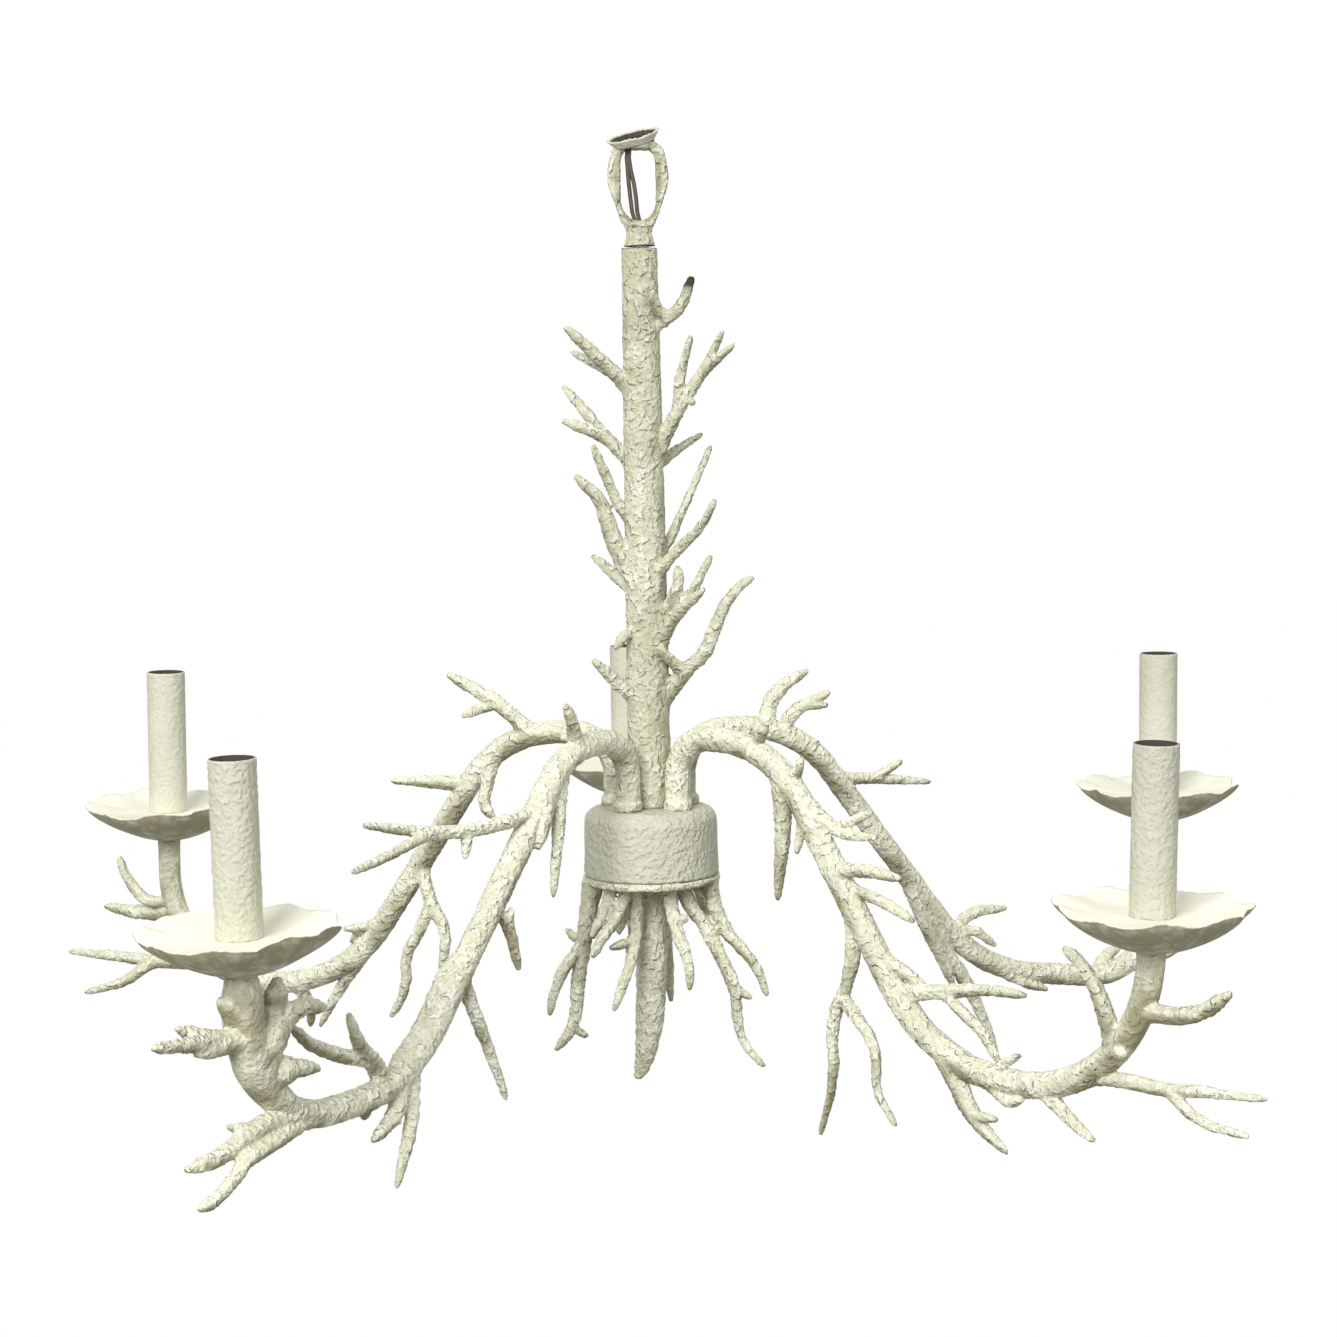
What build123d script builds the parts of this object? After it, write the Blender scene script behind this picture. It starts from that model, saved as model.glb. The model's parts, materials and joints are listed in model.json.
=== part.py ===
from build123d import *
import os
from math import cos, radians, sin
from typing import NamedTuple

# Five-arm coral branch chandelier, in millimetres.
# The origin is the threaded hole at the very top, from which it all hangs; +Z is up.
# The viewer stands on the -Y side. Compass angles run counter-clockwise from +X.

# Levels of the hanging stack, from the top down
YOKE_HEIGHT = 72
COLUMN_HEIGHT = 369
HUB_HEIGHT = 46
COLUMN_TOP_Z = -YOKE_HEIGHT
HUB_TOP_Z = COLUMN_TOP_Z - COLUMN_HEIGHT
SEAM_Z = HUB_TOP_Z - HUB_HEIGHT

# Hanging yoke
NECK_RADIUS = 11
NECK_HEIGHT = 15
YOKE_WIDTH = 39
YOKE_DEPTH = 10
YOKE_WINDOW_WIDTH = 23
YOKE_WINDOW_FOOT = 5
YOKE_SHOULDER_SLOPE = (-0.35, 1)
BOSS_RADIUS = 11
BOSS_HEIGHT = 9
BOSS_TOP_WIDTH = 33
HANG_THREAD_RADIUS = 8

# Flared collar that lies tilted round the boss
COLLAR_TOP_RADIUS = 17
COLLAR_FOOT_RADIUS = 13.5
COLLAR_WALL = 1.6
COLLAR_HEIGHT = 5.5
COLLAR_TILT = 8
COLLAR_GAP = 0.15

# Threaded pipe that clamps yoke, column and hub together
PIPE_RADIUS = 5
PIPE_BORE_RADIUS = 3.2
PIPE_GRIP = 12
PIPE_STAND = 1.3
THREAD_GAP = 0.05

# Column
COLUMN_TOP_RADIUS = 12
COLUMN_FOOT_RADIUS = 14
COLUMN_BORE_RADIUS = 9

# Hub cup, its cover bar and the seam above the root cover
HUB_SHOULDER_RADIUS = 44
HUB_FOOT_RADIUS = 45
HUB_SHOULDER_FILLET = 9.5
HUB_PLATE = 3
HUB_WALL = 2.5
HUB_SEAM = 1.2
LUG_WIDTH = 18
LUG_DEPTH = 5
LUG_HEIGHT = 3
LUG_Z = 4.5
BAR_WIDTH = 14
BAR_HEIGHT = 3
BAR_TOWARD = 56
BAR_END_GAP = 0.4

# Root cover
COVER_RADIUS = 45.5
COVER_HEIGHT = 3.5
COVER_LIP_WALL = 3
COVER_LIP_HEIGHT = 3
COVER_LIP_GAP = 0.4

# Stud that draws the root cover up, and the blind hole of the spike
STUD_RADIUS = 4
STUD_GRIP = 20
STUD_STAND = 4

# Junction block on top of the stud's nut
BLOCK_RADIUS = 31
BLOCK_HEIGHT = 10
BLOCK_CHAMFER = 1

# Hexagon nuts: size across the flats, and height
PIPE_NUT_FLATS = 16
ARM_NUT_FLATS = 14
STUD_NUT_FLATS = 13
CANDLE_NUT_FLATS = 14
NUT_HEIGHT = 6

# Arms
FOOT_CIRCLE = 25
ARM_BORE_RADIUS = 2.6
FOOT_FLANGE_RADIUS = 9
FOOT_FLANGE_HEIGHT = 6
SPIGOT_RADIUS = 5
SPIGOT_LENGTH = 11
HOLE_GAP = 0.1
LEAD_RADIUS = 1.8

# Candle cup at an arm's end
DISH_RADIUS = 55.5
DISH_WAVE = 2.2
DISH_LOBES = 9
LOBE_STRAY = 2.4
DISH_FLOOR_RADIUS = 24
DISH_RIM_RISE = 6
DISH_RIM_EDGE = 1.2
DISH_DEPTH = 20
DISH_NECK_RADIUS = 11
DISH_BELLY_RADIUS = 38
DISH_BELLY_DEPTH = 10
DISH_MIDWAY_RISE = 1.8
DISH_UNEVEN = 0.9
RISER_SOCKET_DEPTH = 6
RISER_GAP = 0.1

# Candle: nipple, bracket, lamp socket and sleeve
NIPPLE_RADIUS = 5
NIPPLE_BORE_RADIUS = 3
NIPPLE_GRIP = 12
BRACKET_RADIUS = 9
BRACKET_FOOT = 4
BRACKET_PLATE = 1.5
STRAP_WIDTH = 8
STRAP_THICKNESS = 1.5
SOCKET_RADIUS = 10.5
SOCKET_HEIGHT = 42
SOCKET_CHAMFER = 0.6
LAMP_THREAD_RADIUS = 6
LAMP_THREAD_DEPTH = 24
SLEEVE_RADIUS = 13.75
SLEEVE_WALL = 1.6
SLEEVE_HEIGHT = 100
SLEEVE_SEAT_GAP = 0.1
SOCKET_BELOW_SLEEVE = 5

# Supply lead through the yoke window and the pipe
SUPPLY_RADIUS = 1.75
SUPPLY_ROUTE = ((-6, 0, -13), (-7, 0, -18), (-8, 0, -27), (-6.5, 0, -38), (-2, 0, -50))
SUPPLY_BENDS = (30, 25, 20, 18, 14)

# Twigs: length and swelling of the flared foot, length of the pointed end and its last
# radius as multiples of the tip radius, the most of its leg that either takes, and the share
# of a leg that a corner takes
FLARE_LENGTH = 16
FLARE = 1.25
POINT_LENGTH = 3
POINT_RADIUS = 0.45
END_SHARE = 0.6
CORNER_SHARE = 0.3

# Direction that starts the turning of every twig's round sections; no twig runs along it
SECTION_WAY = Vector(0.31, 0.87, 0.38)


class Twig(NamedTuple):
    """A tapering twig: where it leaves, its radii, and its legs (outward, sideways, up)."""
    at: float
    foot: float
    tip: float
    legs: tuple
    forks: tuple = ()
    toward: float = 0


class Arm(NamedTuple):
    """One arm: corners of its curve as (outward, above the seam), and their radii."""
    name: str
    toward: float
    radius: float
    crest: tuple
    dip: tuple
    heel: tuple
    radii: tuple
    dish: float
    lean: float
    twigs: tuple


# Twigs of the front left arm
FRONT_LEFT_TWIGS = (
    Twig(0.17, 5.1, 2.3, ((9, 4, 21), (10, 2, 12))),
    Twig(0.275, 4.9, 1.8, ((36, -4, -2), (19, -6, -2), (22, -6, 2), (16, -6, 3), (36, -8, 8)),
         (Twig(0.62, 3.4, 1.8, ((41, 3, -7), (41, 5, -4))),
          Twig(0.42, 3.1, 2, ((6, 2, -16),)))),
    Twig(0.25, 7, 4, ((11, 6, -18), (7, 2, -13))),
    Twig(0.20, 4.9, 1.5, ((17, 8, -44), (9, 2, -37))),
    Twig(0.40, 4.2, 2.2, ((-10, 5, -14), (-6, 2, -29)),
         (Twig(0.42, 2.9, 1.8, ((0, 2, 14),)),)),
    Twig(0.49, 4.7, 1.5, ((-24, 4, -57), (-11, 2, -29))),
    Twig(0.45, 4.2, 2.6, ((20, -6, -12), (14, -2, -20), (15, 2, -14), (30, 3, -15))),
    Twig(0.66, 6, 1.8, ((7, 0, 16), (17, 4, 13), (12, 2, 24)),
         (Twig(0.35, 4.7, 2.8, ((28, -4, 9), (23, 0, 12), (12, 1, 12))),)),
    Twig(0.90, 7.2, 4, ((-17, 5, 12), (-15, 2, 12), (-22, 1, -6))),
    Twig(0.86, 5.9, 4, ((-9, 8, 10), (-26, 1, -6))),
    Twig(0.88, 7, 5.5, ((-16, 2, 30), (1, 2, 22))),
    Twig(0.92, 6.5, 2.5, ((20, -3, 3), (25, -5, 12)),
         (Twig(0.35, 5.2, 2.5, ((58, 7, 9),)),
          Twig(0.20, 6, 3.5, ((30, 2, -2),)))),
    Twig(0.94, 5, 3.4, ((16, -2, 14),)),
    Twig(0.80, 7, 3.2, ((40, 3, -2), (24, 1, -8), (29, 1, 0)),
         (Twig(0.35, 3.4, 2, ((21, -4, 5),)),)),
    Twig(0.77, 5.2, 3, ((49, 10, -5), (23, 2, -4), (7, 1, -6), (15, 1, -8), (15, 0, -2))),
    Twig(0.69, 4.9, 3, ((-4, -6, -14),)),
    Twig(0.63, 6.5, 2.5, ((7, 4, -21), (27, 2, -11))),
    Twig(0.61, 4.9, 2, ((9, 8, -31), (17, 0, -38))),
)

# Twigs of the front right arm
FRONT_RIGHT_TWIGS = (
    Twig(0.19, 4.2, 2.7, ((15, -4, 20),)),
    Twig(0.26, 3.6, 2.2, ((9, 0, 20),)),
    Twig(0.24, 6.5, 1.5, ((4, -5, -42), (-3, -1, -23), (-1, 0, -16))),
    Twig(0.29, 3.2, 1.8, ((0, -8, -28),)),
    Twig(0.28, 5.6, 1.6, ((23, 3, -15), (13, 1, -4), (20, 2, 0)),
         (Twig(0.5, 3.2, 2, ((26, 4, 13),)),)),
    Twig(0.37, 4.8, 2.2, ((35, -4, 3), (22, -2, -2))),
    Twig(0.39, 3.9, 2.4, ((28, 3, -7), (24, 3, -11))),
    Twig(0.48, 4.7, 3, ((28, 2, -12), (7, 1, -7))),
    Twig(0.53, 5.1, 1.8, ((37, 4, 6), (24, 4, 4), (28, 4, -1)),
         (Twig(0.36, 3.4, 2.2, ((20, -1, -13), (12, -1, -7), (13, -2, -16))),)),
    Twig(0.42, 4.9, 1.3, ((2, -5, -42), (-15, -3, -30), (3, 0, -37), (-12, -1, -39)),
         (Twig(0.38, 3.9, 1.4, ((29, -6, -22), (4, -1, -15), (-1, -1, -16), (17, -1, -20))),)),
    Twig(0.62, 7, 1.8, ((22, -3, -37), (26, -1, -17)),
         (Twig(0.55, 3.4, 1.6, ((24, -6, 2),)),)),
    Twig(0.67, 4.7, 3, ((24, -4, -14), (11, -1, 5))),
    Twig(0.68, 3.4, 1.4, ((15, -3, 11), (12, -1, 7))),
    Twig(0.75, 4.7, 1.7, ((25, -3, -18), (16, -1, -8))),
    Twig(0.81, 4.9, 1.3, ((35, 2, 1), (18, 1, -2), (22, 1, 3), (42, 4, 1)),
         (Twig(0.48, 3.4, 1.4, ((22, -5, -14), (34, -2, -2))),)),
    Twig(0.92, 5.7, 3.4, ((29, -3, 1), (17, -2, 6), (17, -1, 13))),
    Twig(0.86, 5.7, 2.8, ((-3, -4, 25), (-8, -2, 17), (-8, -1, 11), (-10, -1, 7))),
    Twig(0.87, 5.5, 3.4, ((8, -9, -3),)),
)

# Twigs of the back left arm
BACK_LEFT_TWIGS = (
    Twig(0.18, 5.7, 2.7, ((20, 4, 21), (38, 4, 20)),
         (Twig(0.45, 3.4, 2.2, ((24, 6, -10),)),)),
    Twig(0.11, 3.4, 2.2, ((12, 10, -4),)),
    Twig(0.29, 5.2, 1.4, ((22, 4, 0), (34, 6, 1))),
    Twig(0.24, 4.9, 3, ((6, 6, -34), (-9, 2, -8))),
    Twig(0.42, 4.9, 2.2, ((-10, 5, -28), (-13, 3, -17), (5, 1, -30)),
         (Twig(0.35, 4.2, 2.2, ((8, 5, -21), (10, 2, -16), (-2, 1, -22), (13, 1, -21))),)),
    Twig(0.53, 5.2, 1.8, ((38, -5, -49), (14, -1, -24))),
    Twig(0.52, 4.2, 2.2, ((28, 5, -4),),
         (Twig(0.5, 3.1, 2, ((12, -3, -12),)),)),
    Twig(0.905, 4.4, 2.6, ((19, 4, -2), (11, 1, 10), (8, 0, 12), (3, 0, 11))),
    Twig(0.89, 6.5, 2.1, ((28, -3, -4), (37, -3, 3))),
    Twig(0.80, 5.6, 1.5, ((52, 2, -1), (21, -2, 1), (55, -6, 0)),
         (Twig(0.38, 4.2, 1.5, ((9, 4, -5), (15, 2, -11), (32, 2, -9))),)),
    Twig(0.68, 4.7, 2, ((-8, -9, -20), (6, -8, -16))),
)

# Twigs of the back right arm
BACK_RIGHT_TWIGS = (
    Twig(0.17, 5.9, 2.1, ((2, 3, 16), (11, 2, 12), (21, 3, 9))),
    Twig(0.19, 5.2, 2.7, ((5, -4, 15), (27, -4, 12)),
         (Twig(0.5, 2.9, 1.9, ((18, -6, 1),)),)),
    Twig(0.20, 3.9, 2.1, ((20, -6, -5),)),
    Twig(0.28, 4.4, 1.5, ((32, 3, -3), (43, 3, -6)),
         (Twig(0.4, 2.9, 1.6, ((21, -3, 11),)),)),
    Twig(0.43, 4.8, 3, ((7, -6, -25), (7, -3, -19), (11, -1, -20), (7, 0, -18))),
    Twig(0.48, 5.7, 2, ((13, -5, -38), (13, -2, -18), (13, -1, -27), (11, 0, -30))),
    Twig(0.53, 4.5, 2, ((20, 4, 13), (28, 2, -1))),
    Twig(0.54, 3.6, 2.1, ((11, -6, 7), (17, -2, -14))),
    Twig(0.60, 4.4, 2.4, ((18, -4, -14), (25, 0, -9))),
    Twig(0.75, 4.7, 2.4, ((10, 6, 12), (17, 5, 5))),
    Twig(0.78, 4.4, 2.3, ((26, -5, 6), (20, -4, 6))),
)

# Twigs of the rear arm, which the column hides from the viewer
REAR_TWIGS = (
    Twig(0.15, 5.2, 2.4, ((14, -14, 2), (4, -3, 16))),
    Twig(0.24, 4.9, 2.6, ((16, 4, 12), (18, 3, 6))),
    Twig(0.33, 5.2, 1.8, ((6, 4, -26), (10, 3, -20))),
    Twig(0.40, 5.5, 2, ((28, 4, 6), (34, 2, -4)),
         (Twig(0.5, 3.4, 1.8, ((20, -5, -8),)),)),
    Twig(0.50, 4.9, 2.4, ((-10, -5, -30), (8, -3, -24))),
    Twig(0.62, 5.5, 2.2, ((22, -4, 22), (24, -3, 10)),
         (Twig(0.5, 3.4, 2, ((14, 7, 2),)),)),
    Twig(0.72, 5.2, 1.8, ((18, 3, -24), (26, 2, -12))),
    Twig(0.84, 5.5, 1.8, ((40, 2, -8), (36, 3, 2)),
         (Twig(0.45, 3.6, 1.8, ((22, -6, -12),)),)),
    Twig(0.92, 5.5, 2.6, ((20, -4, 4), (18, -3, 14))),
    Twig(0.90, 5.2, 2.8, ((-14, 4, 14), (-16, 3, 8))),
)

ARMS = (
    Arm("front_left", -125.4, 7.8, (92, 95), (256, -87), (391, -86), (27, 60, 100, 70), 27.5, 0.6,
        FRONT_LEFT_TWIGS),
    Arm("front_right", -42.4, 7.9, (107, 95), (232, -96), (385.5, -95), (27, 78, 105, 93), 18, 1.6,
        FRONT_RIGHT_TWIGS),
    Arm("back_left", 158.5, 7.3, (107, 94), (234, -92), (374, -92), (27, 81, 110, 75), 28, -1.2,
        BACK_LEFT_TWIGS),
    Arm("back_right", 20.5, 7, (106, 95), (242, -88), (388, -110), (27, 81, 110, 50), 27.5, 0.4,
        BACK_RIGHT_TWIGS),
    Arm("rear", 92.6, 7.5, (106, 95), (238, -90), (386, -90), (27, 81, 108, 76), 16, -0.5,
        REAR_TWIGS),
)

# Twigs of the column: at is the share of its height, legs start on the axis
COLUMN_TWIGS = (
    Twig(0.83, 3.6, 1.9, ((19, 0, 16), (11, 0, 8), (7, 0, 18)),
         (Twig(0.42, 3.4, 2.2, ((-5, -6, 9), (0, -4, 10))),), -25),
    Twig(0.585, 5.1, 1.7, ((26, 0, 51), (15, 3, 21), (13, 2, 26)),
         (Twig(0.48, 3.6, 1.4, ((1, -3, 18), (9, 0, 29))), Twig(0.74, 2.7, 1.5, ((22, -4, 17),)),
          Twig(0.55, 2.4, 1.3, ((8, -6, -4),))), -15),
    Twig(0.59, 3.8, 1.2, ((17, 0, 14), (29, 0, 15)), (), 30),
    Twig(0.417, 3.2, 1.4, ((14, 0, 16), (34, 0, 69)), (), 20),
    Twig(0.395, 4.1, 1.5, ((28, 0, 27), (21, 0, 15), (11, 0, 18)), (), -40),
    Twig(0.255, 5.7, 3, ((13, 0, 18), (2, 0, 16), (8, 0, 14), (4, 0, 10), (-2, 0, 9)),
         (Twig(0.60, 3.8, 1.7, ((14, 3, 6), (17, 2, 29))),
          Twig(0.35, 4, 2.2, ((15, -2, 16), (20, -1, 15)))), -35),
    Twig(0.157, 5.7, 2.3, ((27, 0, 35), (11, 0, 8), (8, 0, 19), (8, 0, 18), (10, 0, 10), (8, 0, 5)),
         (Twig(0.33, 4.1, 2.5, ((-11, -8, 12), (-4, -4, 6))),), -10),
    Twig(0.71, 5.1, 3, ((14, 0, 22), (37, 0, 34)), (Twig(0.30, 3, 1.7, ((17, -4, 12), (16, -6, 9))),),
         195),
    Twig(0.59, 4.5, 2.6, ((25, 0, 28), (29, 0, 34)), (Twig(0.46, 4.1, 2.8, ((28, 6, 11),)),), 165),
    Twig(0.49, 3.8, 2.1, ((16, 0, 16), (6, 0, 13), (13, 0, 31)), (), 200),
    Twig(0.38, 6.8, 2.7, ((18, 0, 29), (7, 0, 22), (4, 0, 14), (17, 0, 16)), (), 190),
    Twig(0.37, 5.1, 2, ((15, 0, 12), (26, 0, 18)), (), 150),
    Twig(0.32, 4.3, 2.6, ((16, 0, 0), (10, 0, -11)), (), 215),
    Twig(0.17, 4.9, 3, ((15, 0, 14), (26, 0, 24)), (), 210),
    Twig(0.74, 4.3, 2, ((18, 0, 22), (22, 2, 26)), (Twig(0.5, 3, 1.7, ((12, -5, 6),)),), 88),
    Twig(0.50, 4.9, 2.2, ((17, 0, 18), (22, -3, 20)), (), 96),
    Twig(0.28, 4.6, 2.2, ((20, 0, 20), (20, 3, 16)), (), 84),
)

# Roots of the cover: at is the distance from the axis, legs start in the cover
ROOTS = (
    Twig(40.5, 6, 2.6, ((5, 0, -29), (4, 0, -21), (3, 0, -19), (1, 0, -19), (4, 0, -12), (11, 0, -13)),
         (Twig(0.36, 4, 2, ((16, 3, -17), (7, 1, -17), (2, 0, -12))),
          Twig(0.84, 2.8, 1.8, ((-11, -3, -8),))), 195),
    Twig(22, 4.5, 2.6, ((14, 0, -22), (18, 0, -13), (8, 0, -9)), (), 230),
    Twig(31, 4.2, 2.6, ((9, 3, -18), (12, 2, -16)), (), 214),
    Twig(21, 4.2, 2.4, ((2, 0, -39), (10, 0, -15), (23, 0, -25)),
         (Twig(0.42, 3, 2, ((17, -11, -4),)),), 242),
    Twig(20, 5.2, 1.5, ((9, 0, -18), (12, 0, -12), (9, 0, -18), (9, 0, -14), (4, 0, -16),
                        (0, 0, -15), (5, 0, -15), (15, 0, -13)),
         (Twig(0.58, 2.8, 1.5, ((12, 3, -7),)),), -30),
    Twig(39, 5.2, 1.7, ((6, 0, -22), (6, 0, -12), (11, 0, -11), (11, 0, -12), (7, 0, -20)), (), -20),
    Twig(39.5, 4.5, 3, ((4, 0, -26), (3, 0, -8)), (), 5),
    Twig(24, 4.8, 1.7, ((6, 0, -27), (11, 0, -12), (10, 0, -12), (-1, 0, -17)),
         (Twig(0.35, 2.9, 1.8, ((6, 8, 4),)),), -62),
    Twig(38, 5, 2, ((7, 2, -28), (8, 1, -19), (9, 1, 9)), (), 158),
    Twig(33, 5, 2, ((2, 0, -26), (10, 3, -20)), (), 118),
    Twig(30, 4.8, 1.8, ((-2, 0, -24), (6, -3, -33), (-12, -4, -33)), (), 78),
    Twig(37, 5, 2, ((5, -2, -22), (9, -3, -24)), (), 38),
)

# Spike under the cover: radii down its bent axis, as (sideways, radius, below the seam)
SPIKE_STATIONS = ((0, 9, 3.5), (0, 8.5, 32), (-1, 10.5, 60), (-3, 9.5, 95), (-6, 7.5, 121), (-12, 2, 140))


def level(height):
    """The horizontal plane at a height above the hub seam."""
    return Plane.XY.offset(SEAM_Z + height)


def compass(toward):
    """Unit vectors outward and sideways for a compass angle."""
    angle = radians(toward)
    return Vector(cos(angle), sin(angle), 0), Vector(-sin(angle), cos(angle), 0)


def upright(plane):
    """The plane through another's origin that holds its x direction and its normal."""
    return Plane(origin=plane.origin, x_dir=plane.x_dir, z_dir=-plane.y_dir)


def arm_plane(arm):
    """The vertical plane of an arm: x runs outward and y up from the hub seam."""
    outward, sideways = compass(arm.toward)
    return Plane(origin=(0, 0, SEAM_Z), x_dir=outward, z_dir=-sideways)


def arm_corners(arm, below=0, beyond=0):
    """Corners of an arm's curve in its own plane, with both ends lengthened."""
    top = arm.dish - DISH_DEPTH + RISER_SOCKET_DEPTH - RISER_GAP
    rise = top - arm.heel[1]
    slope = Vector(rise * sin(radians(arm.lean)) / cos(radians(arm.lean)), rise).normalized()
    end = Vector(arm.heel[0], arm.heel[1]) + slope * (rise / cos(radians(arm.lean)) + beyond)
    start = (FOOT_CIRCLE, HUB_HEIGHT - below)
    return start, (FOOT_CIRCLE, arm.crest[1]), arm.crest, arm.dip, arm.heel, (end.X, end.Y)


def arm_curve(arm, below=0, beyond=0):
    """The centre line of an arm as one smooth wire of lines and arcs."""
    with BuildLine(arm_plane(arm)) as curve:
        FilletPolyline(*arm_corners(arm, below, beyond), radius=arm.radii)
    return curve.line


def candle_plane(arm):
    """The plane on the floor of an arm's dish, square to the leaning candle."""
    outward, sideways = compass(arm.toward)
    curve = arm_curve(arm)
    upward = (curve % 1).normalized()
    to_floor = DISH_DEPTH - RISER_SOCKET_DEPTH + RISER_GAP
    return Plane(origin=(curve @ 1) + upward * to_floor, x_dir=sideways.cross(upward), z_dir=upward)


def point_along(points, share):
    """The point at a share of the length of a run of straight legs."""
    lengths = [(end - start).length for start, end in zip(points, points[1:])]
    left = share * sum(lengths)
    for start, end, length in zip(points, points[1:], lengths):
        if left <= length:
            return start + (end - start) * (left / length)
        left -= length
    return points[-1]


def disc(plane, radius):
    """A round sketch on a plane."""
    with BuildSketch(plane) as sketch:
        Circle(radius)
    return sketch.sketch


def eased(corners):
    """The same run of legs with each corner cut by two points."""
    points = [corners[0]]
    for before, corner, after in zip(corners, corners[1:], corners[2:]):
        cut = CORNER_SHARE * min((corner - before).length, (after - corner).length)
        points.append(corner + (before - corner).normalized() * cut)
        points.append(corner + (after - corner).normalized() * cut)
    return points + [corners[-1]]


def grow(start, twig, outward, sideways):
    """Adds a twig and its forks to the part being built."""
    corners = [start]
    for out, side, up in twig.legs:
        corners.append(corners[-1] + outward * out + sideways * side + Vector(0, 0, up))
    points = eased(corners)
    first = points[1] - points[0]
    points.insert(1, points[0] + first * min(END_SHARE, FLARE_LENGTH / first.length))
    last = points[-1] - points[-2]
    points.insert(-1, points[-1] - last * min(END_SHARE, POINT_LENGTH * twig.tip / last.length))
    legs = [(end - begin).normalized() for begin, end in zip(points, points[1:])]
    ways = [legs[0]] + [(a + b).normalized() for a, b in zip(legs, legs[1:])] + [legs[-1]]
    travelled = [0]
    for begin, end in zip(points, points[1:]):
        travelled.append(travelled[-1] + (end - begin).length)
    sizes = [twig.foot + (twig.tip - twig.foot) * (run / travelled[-1]) ** 2 for run in travelled]
    sizes[0] = twig.foot * FLARE
    sizes[-1] = twig.tip * POINT_RADIUS
    steady = SECTION_WAY
    sections = []
    for centre, way, radius in zip(points, ways, sizes):
        steady = (steady - way * steady.dot(way)).normalized()
        sections.append(disc(Plane(origin=centre, x_dir=steady, z_dir=way), radius))
    loft(sections, ruled=True)
    for fork in twig.forks:
        grow(point_along(corners, fork.at), fork, outward, sideways)


def pipe_along(curve, radius, mode=Mode.ADD):
    """Adds or takes away a round bar that follows a curve."""
    sweep(disc(Plane(origin=curve @ 0, z_dir=curve % 0), radius), path=curve, mode=mode)


def bore(plane, radius, depth):
    """Takes away a round hole that starts at a plane and runs along its normal."""
    extrude(disc(plane, radius), amount=depth, mode=Mode.SUBTRACT)


def rod(plane, radius, length):
    """Adds a round bar that starts at a plane and runs along its normal."""
    extrude(disc(plane, radius), amount=length)


def nut(plane, flats, hole):
    """Adds a hexagon nut that stands on a plane."""
    with BuildSketch(plane) as hexagon:
        RegularPolygon(flats / 2, 6, major_radius=False)
        Circle(hole, mode=Mode.SUBTRACT)
    extrude(hexagon.sketch, amount=NUT_HEIGHT)


def save(part, name):
    """Labels a finished part and writes it."""
    part.label = name
    export_step(part, f"parts/{name}.step")


def make_yoke():
    """Cast hanging yoke: neck, two curved cheeks round a window, and the threaded boss."""
    window_top = -BOSS_HEIGHT
    window_foot = COLUMN_TOP_Z + NECK_HEIGHT + YOKE_WINDOW_FOOT
    middle = (window_top + window_foot) / 2
    with BuildPart() as yoke:
        with BuildSketch(Plane.XZ):
            with BuildLine():
                outer = Spline((NECK_RADIUS, COLUMN_TOP_Z + NECK_HEIGHT / 2),
                               (YOKE_WIDTH / 2, middle), (BOSS_TOP_WIDTH / 2, -BOSS_HEIGHT),
                               tangents=((0, 1), YOKE_SHOULDER_SLOPE))
                Polyline(outer @ 1, (BOSS_RADIUS, -BOSS_HEIGHT / 2), (0, -BOSS_HEIGHT / 2),
                         (0, COLUMN_TOP_Z + NECK_HEIGHT / 2), outer @ 0)
            make_face()
            mirror(about=Plane.YZ)
            with Locations((0, (window_top + window_foot) / 2)):
                SlotOverall(window_top - window_foot + YOKE_WINDOW_FOOT, YOKE_WINDOW_WIDTH, rotation=90,
                            mode=Mode.SUBTRACT)
        extrude(amount=YOKE_DEPTH / 2, both=True)
        with BuildSketch(Plane.XY.offset(COLUMN_TOP_Z)):
            Circle(NECK_RADIUS)
        extrude(amount=NECK_HEIGHT)
        rod(Plane.XY.offset(-BOSS_HEIGHT), BOSS_RADIUS, BOSS_HEIGHT)
        bore(Plane.XY.offset(-BOSS_HEIGHT * 2), HANG_THREAD_RADIUS, BOSS_HEIGHT * 2)
        bore(Plane.XY.offset(COLUMN_TOP_Z), PIPE_RADIUS + THREAD_GAP, PIPE_GRIP + THREAD_GAP)
        bore(Plane.XY.offset(COLUMN_TOP_Z), PIPE_BORE_RADIUS, NECK_HEIGHT * 2)
    save(yoke.part, "hanging_yoke")


def make_collar():
    """Loose flared ring round the yoke's boss, tilted to the left."""
    drop = (COLLAR_FOOT_RADIUS - COLLAR_WALL) * sin(radians(COLLAR_TILT))
    seat = Plane(origin=(0, 0, -BOSS_HEIGHT / 2 + COLLAR_GAP + drop),
                 x_dir=(cos(radians(COLLAR_TILT)), 0, sin(radians(COLLAR_TILT))),
                 z_dir=(-sin(radians(COLLAR_TILT)), 0, cos(radians(COLLAR_TILT))))
    with BuildPart() as collar:
        with BuildSketch(upright(seat)):
            with BuildLine():
                Polyline((COLLAR_FOOT_RADIUS - COLLAR_WALL, 0), (COLLAR_FOOT_RADIUS, 0),
                         (COLLAR_TOP_RADIUS, COLLAR_HEIGHT), (COLLAR_TOP_RADIUS - COLLAR_WALL, COLLAR_HEIGHT),
                         close=True)
            make_face()
        revolve(axis=Axis(seat.origin, seat.z_dir))
    save(collar.part, "collar_ring")


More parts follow.
